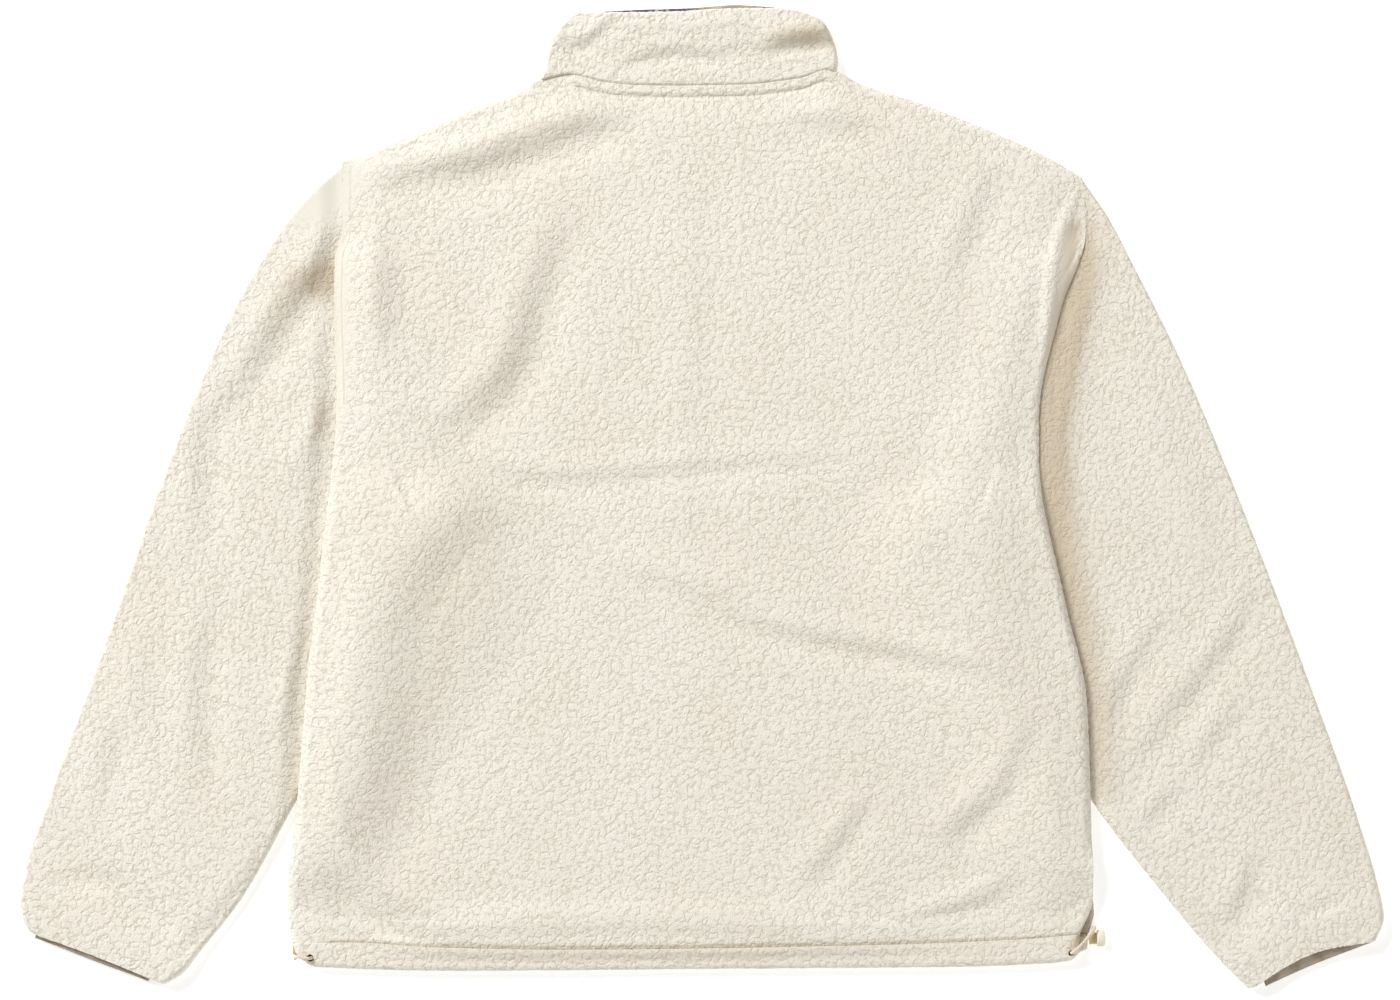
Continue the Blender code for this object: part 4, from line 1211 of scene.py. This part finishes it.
@dataclass
class Back(Cloth):
    """The back, its long edges turned under and its neck seam allowance stitched down."""

    columns: Spacing = Spacing(round_steps(TURN, 12), 254)
    rows: Spacing = Spacing(
        (0.0, 0.6, 1.3, 2.2, 3.3, 4.6, 6.2, 8.0), 276,
        (0.0, 0.5, 1.1, 1.9, 2.9, 4.1, 5.4, 6.6, 7.6, 8.4, 9.0, 9.6, 10.2, 11.0, 12.2, 13.8),
    )
    inner_steps: Spacing = Spacing((0.0, 0.4, INNER_TURN, 5.0), 64)
    allowance: float = 9.2
    allowance_rise: float = 1.3
    stitch_depth: float = 0.6
    hem_rise: float = 3.0
    side_round: float = 4.8
    hem_round: float = 3.2
    neck_round: float = 3.0
    patch: Patch = Patch(
        side_edge(BACK_LEFT), side_edge(BACK_RIGHT), cross_edge(HEM_SEAM, SEAM_GAP), cross_edge(BODY_TOP)
    )

    def turns(self, u: Array, v: Array) -> list[Array]:
        """How fully the back turns under at its left, right, lower and upper edge: 0 to 1 each.

        Args:
            u: Shares of the width.
            v: Shares of the height.

        Returns:
            The four shares of a full turn.
        """
        left = SmoothCurve(BACK_TURN_LEFT)(self.patch.left(v)[:, 1])
        right = SmoothCurve(BACK_TURN_RIGHT)(self.patch.right(v)[:, 1])
        x = self.patch.top(u)[:, 0]
        return [left, right, np.zeros_like(u), (1 - at_neck(x)) * within_shoulders(x)]

    def underside(self, points: Array, from_edge: Array) -> Array:
        """Height of the back's inner face.

        Args:
            points: Places on the ground, in the tables' millimetres.
            from_edge: Distance to the nearest edge.

        Returns:
            The heights in millimetres.
        """
        ease = smooth_step(from_edge / 34)
        puff = np.maximum(BACK_PUFF + crease_height(points, BACK_CREASES), 0.0) * ease
        edge = crease_height(points, EDGE_CREASES) * smooth_step(from_edge / 7)
        hem = self.hem_rise * smooth_step((HEM_RISE_Y - points[:, 1]) / 26)
        lifted = WALL + LAYER_GAP + back_lift(points) + crease_height(points, LOCK_LIFT)
        return lifted + np.maximum(np.maximum(puff, hem) + edge, 0.0)

    def neck_profile(self, points: Array, from_seam: Array) -> Array:
        """Height of the seam allowance stitched down below the neck seam, and of its stitch line.

        Args:
            points: Places on the ground, in the tables' millimetres.
            from_seam: Distance below the neck seam.

        Returns:
            The heights in millimetres.
        """
        raised = self.allowance_rise * smooth_step((self.allowance - 0.6 - from_seam) / 3.2)
        groove = self.stitch_depth * np.exp(-(((from_seam - self.allowance) / 1.6) ** 2))
        return (raised - groove) * self.stitched(points[:, 0])

    @staticmethod
    def stitched(x: Array) -> Array:
        """1 where the seam allowance is stitched down, easing to 0 past its ends."""
        return band(x, low=-106, high=104, rise=18, fall=12)

    def face(self, u: Array, v: Array, insets: list[Array], lower: bool) -> Array:
        """Places of the outer or the inner face.

        Args:
            u: Shares of the width.
            v: Shares of the height.
            insets: How far the face stops short of each edge.
            lower: Whether it is the inner face.

        Returns:
            The places, x, y and z.
        """
        width, height = float(self.patch.width(0.5)), float(self.patch.height(0.5))
        point = self.patch.at(u, v)
        edges = (u * width, (1 - u) * width, v * height, (1 - v) * height)
        flat = self.underside(point, np.minimum.reduce(edges)) + (0 if lower else WALL)
        if not lower:
            flat = flat + self.neck_profile(point, edges[3])
            low = 3.2 * smooth_step((HEM_RISE_Y - point[:, 1]) / 14)
            sides = np.maximum(arc_fall(edges[0], self.side_round), arc_fall(edges[1], self.side_round))
            hem = hem_sewn(point[:, 0]) * arc_fall(edges[2], self.hem_round)
            neck = 0.45 * at_neck(point[:, 0]) * arc_fall(edges[3], self.neck_round)
            flat = flat - low * sides - hem - neck
        rim = ON_SLEEVE * over_sleeve(point)
        turn = INNER_TURN if lower else TURN
        fall = np.maximum.reduce([
            share * arc_fall(edge - inset, turn)
            for share, edge, inset in zip(self.turns(u, v), edges, insets)
        ])
        return np.column_stack([point, flat - fall * np.maximum(flat - rim, 0.0)])

    def outer_face(self, column: Array, row: Array) -> Array:
        """Places of the outer face's crossings.

        Args:
            column: Numbers of the columns.
            row: Numbers of the rows.

        Returns:
            The places, x, y and z.
        """
        u = self.columns.at(column, self.patch.width(0.5))
        v = self.rows.at(row, self.patch.height(0.5))
        return self.face(u, v, [0.0] * 4, False)

    def inner_face(self, column: Array, row: Array) -> Array:
        """Places of the inner face's crossings.

        Args:
            column: Numbers of the columns.
            row: Numbers of the rows.

        Returns:
            The places, x, y and z.
        """
        width, height = self.patch.width(0.5), self.patch.height(0.5)
        turns = self.turns(self.inner_steps.at(column, width), self.inner_steps.at(row, height))
        insets = [WALL * turn for turn in turns]
        u = self.inner_steps.at(column, width, insets[0], insets[1])
        v = self.inner_steps.at(row, height, insets[2], insets[3])
        return self.face(u, v, insets, True)

    def shape(self) -> bmesh.types.BMesh:
        """The outer and the inner face, bridged round the rim.

        Returns:
            The mesh.
        """
        mesh = bmesh.new()
        add_grid(mesh, self.columns.count, self.rows.count, self.outer_face)
        add_grid(mesh, self.inner_steps.count, self.inner_steps.count, self.inner_face)
        bmesh.ops.bridge_loops(mesh, edges=[edge for edge in mesh.edges if edge.is_boundary])
        return mesh

    def seam_distance(self, points: Array) -> Array:
        """Distance to the armhole seams and to the stitch line below the neck.

        Args:
            points: Places of the vertices, in the tables' millimetres.

        Returns:
            The distances.
        """
        x, y = points[:, 0], points[:, 1]
        neck = SmoothCurve([(point.x, point.y) for point in BODY_TOP])(x) - self.allowance - y
        neck = np.abs(neck) + 0.3 + 1.6 * (1 - self.stitched(x))
        left = np.abs(x - along_y(BACK_LEFT)(y) - 6.5) + 0.7
        left = np.where((y > 70) & (y < 250), left, NO_SEAM)
        nearest = np.minimum.reduce([neck, left, super().seam_distance(points)])
        return np.where(points[:, 2] > WALL, nearest, NO_SEAM)


@dataclass
class Front(Cloth):
    """The front, flat on the ground but for where it crosses a sleeve."""

    columns: Spacing = Spacing((0.0, 1.0, 2.5, 5.0), 150)
    rows: Spacing = Spacing((0.0, 1.0, 2.5, 5.0), 170)
    upper_steps: Spacing = Spacing((0.0, 2.0, 5.0), 56)

    def edge(
        self, body: Sequence[Place], inset: Sequence[tuple[float, float]], side: Side, sign: int
    ) -> Edge:
        """A side of the front: inside the back's edge, then across the sleeve to the armhole and up it.

        Args:
            body: The back's edge on that side.
            inset: Rows of y and how far the front lies inside it.
            side: The sleeve on that side.
            sign: 1 where inside is towards +X.

        Returns:
            The edge.
        """
        low = side_edge(body, inset, sign)
        armhole = along_y(side.armhole)
        start, length = FRONT_LEVELS[0], FRONT_LEVELS[1] - FRONT_LEVELS[0]
        notch, underarm = (FRONT_NOTCH_Y - start) / length, (UNDERARM_Y - start) / length

        def place(v: Array) -> Array:
            """The edge at each share of its height.

            Args:
                v: Shares, 0 to 1.

            Returns:
                The places.
            """
            y = body[0].y + (body[-1].y - body[0].y) * v
            sewn = np.stack([armhole(y) + sign * SEAM_GAP, y], axis=-1)
            share = np.clip((v - notch) / (underarm - notch), 0.0, 1.0)[..., None]
            return low(v) * (1 - share) + sewn * share

        return place

    def outline(self) -> Patch:
        """The front's own patch.

        Returns:
            The patch.
        """
        def below_turn(x: Array) -> Array:
            """How far the front's upper edge lies below the back's turned one."""
            return -(FRONT_INSET + 1.6) * (1 - at_neck(x)) * within_shoulders(x)

        left = self.edge(BACK_LEFT, FRONT_INSET_LEFT, LEFT, 1)
        right = self.edge(BACK_RIGHT, FRONT_INSET_RIGHT, RIGHT, -1)
        zero, one = np.array(0.0), np.array(1.0)
        hem = cross_edge(HEM_SEAM, SEAM_GAP, float(left(zero)[0]), float(right(zero)[0]))
        top = cross_edge(BODY_TOP, below_turn, float(left(one)[0]), float(right(one)[0]))
        return Patch(left, right, hem, top)

    def shape(self) -> bmesh.types.BMesh:
        """The under and the upper face, bridged round the rim.

        Returns:
            The mesh.
        """
        patch = self.outline()

        def face(u: Array, v: Array, height: float) -> Array:
            """Places of one face."""
            point = patch.at(u, v)
            return np.column_stack([point, front_lift(point) + height])

        width, length = patch.width(0.5), patch.height(0.5)
        mesh = bmesh.new()
        add_grid(
            mesh, self.columns.count, self.rows.count,
            lambda column, row: face(self.columns.at(column, width), self.rows.at(row, length), 0.0),
        )
        upper = self.upper_steps
        add_grid(
            mesh, upper.count, upper.count,
            lambda column, row: face(upper.at(column, width), upper.at(row, length), WALL),
        )
        bmesh.ops.bridge_loops(mesh, edges=[edge for edge in mesh.edges if edge.is_boundary])
        return mesh


@dataclass
class Tube(Cloth):
    """A flattened tube of cloth, open at both ends: its lower layer is flat and its upper one has folds."""

    patch: Patch | None = None
    across: int = 90
    rows: Spacing = Spacing((0.0, 0.7, 1.6), 282)
    inner_across: int = 20
    inner_rows: Spacing = Spacing((0.0, 2.0), 60)
    wall: float = WALL
    base: float = 0.0
    bow: float = 0.0
    arc: int = 8

    def gap(self, v: Array) -> Array:
        """Space between the layers, by v."""
        return np.full_like(v, MOUTH_GAP - 2 * (FACING + REST_GAP))

    def folds(self, points: Array, u: Array, v: Array) -> Array:
        """Height of the upper layer's folds."""
        return np.zeros(len(points))

    def layer(self, step: Array, v: Array, inner: bool) -> Array:
        """Places round the tube's outer or inner face.

        Args:
            step: Numbers of the columns, all round.
            v: Shares of the length.
            inner: Whether it is the inner face.

        Returns:
            The places, x, y and z.
        """
        between = self.inner_across if inner else self.across
        angles = np.linspace(0, math.pi / 2, 3 if inner else self.arc)
        spacing = Spacing(tuple(1 - np.cos(angles)), between)
        last = spacing.count - 1
        upper = step <= last
        place = np.where(upper, step, 2 * last - step)
        gap = self.gap(v)
        middle = self.wall + gap / 2
        turn = 0.4 if inner else middle
        inset = self.wall if inner else 0.0
        u = spacing.at(place, self.patch.width(v) / turn, inset / turn, inset / turn)
        end = np.minimum(place, last - place)
        rise = np.sin(angles)[np.clip(end, 0, len(angles) - 1)]
        held = np.clip(u, 0.0, 1.0)
        back = self.bow * np.sin(math.pi * held) ** 1.5
        v = np.where(upper, v * (1 - back / self.patch.height(held)), v)
        point = self.patch.at(u, v)
        reach = gap / 2 + (0 if inner else self.wall)
        folds = self.folds(point, u, v) if not inner or self.slot is Slot.FLEECE else 0.0
        height = np.where(upper, middle + rise * (reach + folds), middle - rise * reach)
        return np.column_stack([point, self.base + height])

    def shape(self) -> bmesh.types.BMesh:
        """The outer and the inner face, bridged at both ends.

        Returns:
            The mesh.
        """
        mesh = bmesh.new()
        ends = []
        for inner in (False, True):
            across = (self.inner_across if inner else self.across) + 2 * (3 if inner else self.arc)
            rows = self.inner_rows if inner else self.rows
            length = float(self.patch.height(0.5))
            crossings = add_grid(
                mesh, 2 * across - 1, rows.count,
                lambda column, row: self.layer(column % (2 * across - 2), rows.at(row, length), inner),
            )
            ends.append(close_round(mesh, crossings))
        for outer_row, inner_row in zip(*ends):
            bridge_rows(mesh, outer_row, inner_row)
        return mesh


@dataclass
class Sleeve(Tube):
    """A sleeve pressed flat, open at armhole and cuff."""

    side: Side | None = None

    def __post_init__(self) -> None:
        """Works out the patch from the sleeve's outline."""
        up_armhole = side_edge(self.side.armhole[::-1])
        self.patch = Patch(
            free_edge(self.side.outer), free_edge(self.side.inner),
            lambda u: up_armhole(1 - np.asarray(u)), free_edge(self.side.cuff),
        )
        self.bow = self.side.mouth_bow

    def gap(self, v: Array) -> Array:
        """The layers part towards the cuff."""
        return LAYER_GAP + (MOUTH_GAP - LAYER_GAP) * smooth_step((v - 0.88) / 0.08)

    def folds(self, points: Array, u: Array, v: Array) -> Array:
        """Folds that fade before the body that lies on the sleeve.

        Args:
            points: Places on the ground, in the tables' millimetres.
            u: Shares of the way across.
            v: Shares of the length.

        Returns:
            The heights in millimetres.
        """
        clear = smooth_step((distance_to(points, BODY_OUTLINE) - 2) / 16)
        height = np.maximum(SLEEVE_PUFF + crease_height(points, SLEEVE_CREASES), 0.0)
        rounded = 2.2 * arc_fall((1 - v) * self.patch.height(np.clip(u, 0, 1)), 3.0)
        return np.where(inside(points, BODY_OUTLINE), 0.0, height * clear) - rounded


@dataclass
class Collar(Tube):
    """The stand-up collar, folded flat above the neck seam."""

    def __post_init__(self) -> None:
        """Works out the patch from the collar's outline."""
        self.patch = Patch(
            free_edge(COLLAR_LEFT), free_edge(COLLAR_RIGHT),
            cross_edge(NECK, SEAM_GAP), cross_edge(COLLAR_TOP),
        )

    def gap(self, v: Array) -> Array:
        """The layers part towards the top."""
        return LAYER_GAP + (MOUTH_GAP - LAYER_GAP) * smooth_step((v - 0.3) / 0.3)

    def folds(self, points: Array, u: Array, v: Array) -> Array:
        """The collar's folds and its soft edges.

        Args:
            points: Places on the ground, in the tables' millimetres.
            u: Shares of the way across.
            v: Shares of the height.

        Returns:
            The heights in millimetres.
        """
        length = self.patch.height(np.clip(u, 0, 1))
        rounded = 1.0 * arc_fall(v * length, 3.2) + 2.4 * arc_fall((1 - v) * length, 3.0)
        return np.maximum(COLLAR_PUFF + crease_height(points, COLLAR_CREASES), 0.0) - rounded


@dataclass
class CollarFacing(Tube):
    """The woven facing inside the collar, its edge just above the fleece."""

    collar: Patch | None = None

    def __post_init__(self) -> None:
        """Works out the patch from the collar's."""
        low = [self.collar.at(u, 0.72) for u in (0.07, 0.3, 0.5, 0.7, 0.93)]
        rises = ((0.07, 0.4), (0.3, 2.0), (0.5, 2.2), (0.7, 2.8), (0.93, 0.8))
        high = [self.collar.at(u, 1.0) + (0.0, rise) for u, rise in rises]
        inner = free_edge([Place(*point) for point in low])
        outer = free_edge([Place(*point) for point in high])
        zero, one = np.array(0.0), np.array(1.0)
        self.patch = Patch(
            straight(inner(zero), outer(zero)), straight(inner(one), outer(one)), inner, outer
        )


@dataclass
class CuffFacing(Tube):
    """A woven band inside the cuff that shows as a narrow edge below the fleece."""

    side: Side | None = None
    held: float = 14.0
    end_gaps: tuple[float, float] = (0.8, 9.0)

    def __post_init__(self) -> None:
        """Works out the patch from the sleeve's mouth."""
        start, end = np.array(self.side.cuff[0]), np.array(self.side.cuff[-1])
        along = (end - start) / np.linalg.norm(end - start)
        out = np.array([-along[1], along[0]])
        out = -out if out[1] > 0 else out
        stops = (
            start + along * (WALL + self.end_gaps[0]),
            free_edge(self.side.cuff)(np.array(0.5)),
            end - along * (WALL + self.end_gaps[1]),
        )
        inner = free_edge([Place(*(stop - out * self.held)) for stop in stops])
        shows = zip(stops, self.side.facing_shows)
        outer = free_edge([Place(*(stop + out * shown)) for stop, shown in shows])
        zero, one = np.array(0.0), np.array(1.0)
        self.patch = Patch(
            straight(inner(zero), outer(zero)), straight(inner(one), outer(one)), inner, outer
        )
        self.bow = self.side.mouth_bow


@dataclass
class Casing(Cloth):
    """A turned hem, a doubled strip with round outer edges."""

    base: float = 0.0
    left: tuple[Place, ...] = ()
    right: tuple[Place, ...] = ()
    holes: tuple[Corner, ...] = ()
    columns: Spacing = Spacing((0.0, 0.4, 1.1, 2.0, 3.2), 330)
    rows: Spacing = Spacing((0.0, 0.25, 0.8, 1.6, 2.6, 3.8), 8, (0.0, 0.4, 1.0, 1.8, 3.0))
    flat_steps: Spacing = Spacing((0.0, 1.5), 90)
    depth: float = 22.0
    edge_round: float = 4.6
    seam_round: float = 3.2
    slope: float = 2.0

    def outline(self) -> Patch:
        """The casing's own patch.

        Returns:
            The patch.
        """
        return Patch(
            side_edge(self.left), side_edge(self.right),
            cross_edge(HEM_EDGE, 0.0, self.left[0].x, self.right[0].x),
            cross_edge(HEM_SEAM, 0.0, self.left[-1].x, self.right[-1].x),
        )

    def shape(self) -> bmesh.types.BMesh:
        """The upper and the under face, bridged round the rim.

        Returns:
            The mesh.
        """
        patch = self.outline()
        width = float(patch.width(0.5))

        def face(u: Array, v: Array, top: bool) -> Array:
            """Places of one face.

            Args:
                u: Shares of the length.
                v: Shares of the depth.
                top: Whether it is the upper face.

            Returns:
                The places, x, y and z.
            """
            point = patch.at(u, v)
            length = patch.height(u)
            edge = np.minimum(np.minimum(u, 1 - u) * width, v * length)
            rise = 0.0
            if top:
                seam = arc_fall((1 - v) * length, self.seam_round + 6 * (1 - hem_sewn(point[:, 0])))
                slope = self.slope * band(point[:, 0], low=-250, high=190, rise=60, fall=90)
                slope = slope * (1 - smooth_step((1 - v) * length / 10))
                rise = CASING * (1 - 0.7 * arc_fall(edge, self.edge_round)) - seam + slope
            return np.column_stack([point, self.floor_at(point) + rise])

        mesh = bmesh.new()
        faces = ((True, self.columns, self.rows), (False, self.flat_steps, Spacing((0.0,), 3)))
        for top, across, up in faces:
            add_grid(
                mesh, across.count, up.count,
                lambda column, row: face(across.at(column, width), up.at(row, self.depth), top),
            )
        bmesh.ops.bridge_loops(mesh, edges=[edge for edge in mesh.edges if edge.is_boundary])
        return mesh

    def floor_at(self, points: Array) -> Array:
        """Height of the casing's under face."""
        return self.base + crease_height(points, LOCK_LIFT) * (self.base > 0)

    def cut_holes(self, piece: bpy.types.Object) -> None:
        """Cuts a blind round hole where each cord leaves the hem.

        Args:
            piece: The casing's object.
        """
        for corner in self.holes:
            top = float(self.floor_at(np.array([corner.hole]))[0]) + CASING
            mesh = bmesh.new()
            bmesh.ops.create_cone(
                mesh, cap_ends=True, segments=24, depth=2 * HOLE_DEPTH * MM,
                radius1=corner.hole_radius * MM, radius2=corner.hole_radius * MM,
            )
            place = to_metres(np.array([[*corner.hole, top]]))[0]
            bmesh.ops.translate(mesh, verts=mesh.verts, vec=Vector(place))
            data = bpy.data.meshes.new("cord_hole")
            mesh.to_mesh(data)
            mesh.free()
            cutter = bpy.data.objects.new("cord_hole", data)
            bpy.context.scene.collection.objects.link(cutter)
            modifier = piece.modifiers.new("cord_hole", "BOOLEAN")
            modifier.operation = "DIFFERENCE"
            modifier.object = cutter
            apply_modifiers(piece)
            bpy.data.objects.remove(cutter)
            bpy.data.meshes.remove(data)
        piece.data.shade_smooth()

    def marks(self, points: Array) -> dict[str, Array]:
        """Its marks, with painted deep shade inside the holes.

        Args:
            points: Places of the vertices, in the tables' millimetres.

        Returns:
            A value for each vertex, by the attribute's name.
        """
        marks = super().marks(points)
        raised = points[:, 2] - self.floor_at(points[:, :2])
        for corner in self.holes:
            apart = np.hypot(points[:, 0] - corner.hole.x, points[:, 1] - corner.hole.y)
            inside_hole = (apart < corner.hole_radius + 0.05) & (raised > 0.4) & (raised < CASING - 2.0)
            # Painted deep shade down the hole's walls.
            marks["shade"][inside_hole] = 3.0
            marks["relief"][apart < corner.hole_radius + 0.6] = 0.0
        return marks


@dataclass
class Drawcord:
    """The elastic cord that leaves the hem by a hole and ends in a cord lock."""

    word: str
    corner: Corner
    diameter: float = 2.4

    def make(self, cord: bpy.types.Material, ochre: bpy.types.Material, cream: bpy.types.Material) -> None:
        """Builds the cord and dresses its lock.

        Args:
            cord: Finish of the cord.
            ochre: Finish of the lock's barrel.
            cream: Finish of its button.
        """
        curve = bpy.data.curves.new(f"cord_{self.word}", "CURVE")
        curve.dimensions = "3D"
        curve.bevel_depth = self.diameter / 2 * MM
        curve.bevel_resolution = 4
        curve.use_fill_caps = True
        route = to_metres(smooth_route(self.corner.route, 8))
        spline = curve.splines.new("POLY")
        spline.points.add(len(route) - 1)
        for point, place in zip(spline.points, route):
            point.co = (*place, 1.0)
        curve.materials.append(cord)
        piece = bpy.data.objects.new(f"cord_{self.word}", curve)
        bpy.context.scene.collection.objects.link(piece)
        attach(piece, "root")
        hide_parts(f"drawcord_{self.word}")
        lock = [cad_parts[f"{name}_{self.word}"] for name in ("cord_lock", "lock_button")]
        for part, material in zip(lock, (ochre, cream)):
            part.data.materials.clear()
            part.data.materials.append(material)


@dataclass(frozen=True)
class Studio:
    """Pale floor, soft light from the upper left and a camera straight above."""

    frame_width: float = 1.05
    lens: float = 100.0
    sensor: float = 36.0
    middle: tuple[float, float, float] = (-0.0003, -0.0020, 0.010)
    floor_glow: float = 0.45
    world_strength: float = 0.42
    key_power: float = 500.0
    fill_power: float = 110.0

    def make(self) -> None:
        """Sets up the floor, the lights and the camera."""
        scene = bpy.context.scene
        bpy.ops.mesh.primitive_plane_add(size=8.0)
        floor = bpy.context.object
        floor.name = "floor"
        material, _, shader = new_material("pale_floor")
        shader.inputs["Base Color"].default_value = linear(250, 250, 250)
        shader.inputs["Roughness"].default_value = 0.9
        shader.inputs["Emission Color"].default_value = linear(255, 255, 255)
        shader.inputs["Emission Strength"].default_value = self.floor_glow
        floor.data.materials.append(material)
        world = bpy.data.worlds.new("studio")
        world.use_nodes = True
        world.node_tree.nodes["Background"].inputs["Color"].default_value = (1.0, 0.972, 0.93, 1.0)
        world.node_tree.nodes["Background"].inputs["Strength"].default_value = self.world_strength
        scene.world = world
        self.lamp("key", (-4.4, 4.0, 4.4), 2.6, self.key_power)
        self.lamp("fill", (4.8, -4.4, 1.5), 3.0, self.fill_power)
        camera = bpy.data.cameras.new("camera")
        camera.lens = self.lens
        camera.sensor_width = self.sensor
        camera.clip_end = 50.0
        holder = bpy.data.objects.new("camera", camera)
        x, y, z = self.middle
        holder.location = (x, y, z + self.frame_width * self.lens / self.sensor)
        scene.collection.objects.link(holder)
        scene.camera = holder
        scene.view_settings.view_transform = "Standard"

    def lamp(self, name: str, place: tuple[float, float, float], size: float, power: float) -> None:
        """Adds a square soft light that faces the garment.

        Args:
            name: The lamp's name.
            place: Where it stands, in metres.
            size: Its side, in metres.
            power: Its power in watts.
        """
        light = bpy.data.lights.new(name, "AREA")
        light.shape = "SQUARE"
        light.size = size
        light.energy = power
        holder = bpy.data.objects.new(name, light)
        holder.location = place
        holder.rotation_mode = "QUATERNION"
        holder.rotation_quaternion = (-Vector(place)).to_track_quat("-Z", "Y")
        bpy.context.scene.collection.objects.link(holder)


def main() -> None:
    """Builds the pullover piece by piece."""
    logging.basicConfig(level=logging.INFO, format="%(message)s")
    Studio().make()
    pile = Pile()
    relief = pile.relief_group()
    fleece = FleeceFinish(pile).make()
    facing = FacingFinish().make()
    cord = CordFinish().make()
    ochre = PlasticFinish("ochre_plastic", linear(208, 186, 142), linear(192, 168, 122)).make()
    cream = PlasticFinish("cream_plastic", linear(246, 240, 224), linear(238, 230, 210)).make()

    back = Back("back_fleece", "back", relief=relief, pressed=BACK_PRESSED, shaded=BACK_SHADED)
    front = Front("front_fleece", "front", relief=relief, shaded=FRONT_SHADED)
    collar = Collar(
        "collar_fleece", "collar", relief=relief, shaded=COLLAR_SHADED, across=150,
        rows=Spacing((0.0, 0.4, 1.0, 1.8), 32), inner_across=30, inner_rows=Spacing((0.0, 2.0), 6),
    )
    sleeves = [
        Sleeve(f"sleeve_{word}_fleece", f"sleeve_{word}", relief=relief, side=side,
               pressed=(SHOULDER_PRESSED,), shaded=SLEEVE_SHADED)
        for word, side in (("left", LEFT), ("right", RIGHT))
    ]
    thin = {"slot": Slot.FACING, "wall": FACING, "base": WALL + REST_GAP, "across": 60, "arc": 5,
            "rows": Spacing((0.0, 0.5), 10), "inner_across": 30, "inner_rows": Spacing((0.0,), 3)}
    facings = [
        CollarFacing(
            "collar_facing_cloth", "collar_facing", shaded=FACING_SHADED, collar=collar.patch, **thin
        ),
        CuffFacing("cuff_facing_left_cloth", "cuff_facing_left", side=LEFT, **thin),
        CuffFacing("cuff_facing_right_cloth", "cuff_facing_right", side=RIGHT, **thin),
    ]
    casings = [
        Casing(
            "hem_back_fleece", "hem_casing_back", relief=relief, shaded=CASING_SHADED, base=HEM_LAYER,
            left=(HEM_EDGE[0], HEM_SEAM[0]), right=(HEM_EDGE[-2], HEM_SEAM[-1]),
            holes=(LEFT_CORNER, RIGHT_CORNER),
        ),
        Casing(
            "hem_front_fleece", "hem_casing_front", relief=relief, shaded=CASING_SHADED,
            left=places((-292.6, -350.3), (-293.0, -332.2)),
            right=(HEM_EDGE[-1], Place(290.8, -327.2)),
        ),
    ]
    back.make(fleece)
    back.patch.area()
    front.make(fleece)
    front.outline().area()
    for piece in [collar, *sleeves, *facings]:
        made = piece.make(fleece if piece.slot is Slot.FLEECE else facing)
        width = 2 * max(float(piece.patch.width(v)) for v in (0.0, 0.25, 0.5, 0.75, 1.0))
        length = max(float(piece.patch.height(u)) for u in (0.0, 0.5, 1.0))
        area = 2 * piece.patch.area()
    for piece in casings:
        made = piece.make(fleece)
        patch = piece.outline()
        width = float(patch.width(0.5))
        min(patch.area(), width * HEM_CUT)
    for word, corner in (("left", LEFT_CORNER), ("right", RIGHT_CORNER)):
        Drawcord(word, corner).make(cord, ochre, cream)


if __name__ == "__main__":
    main()
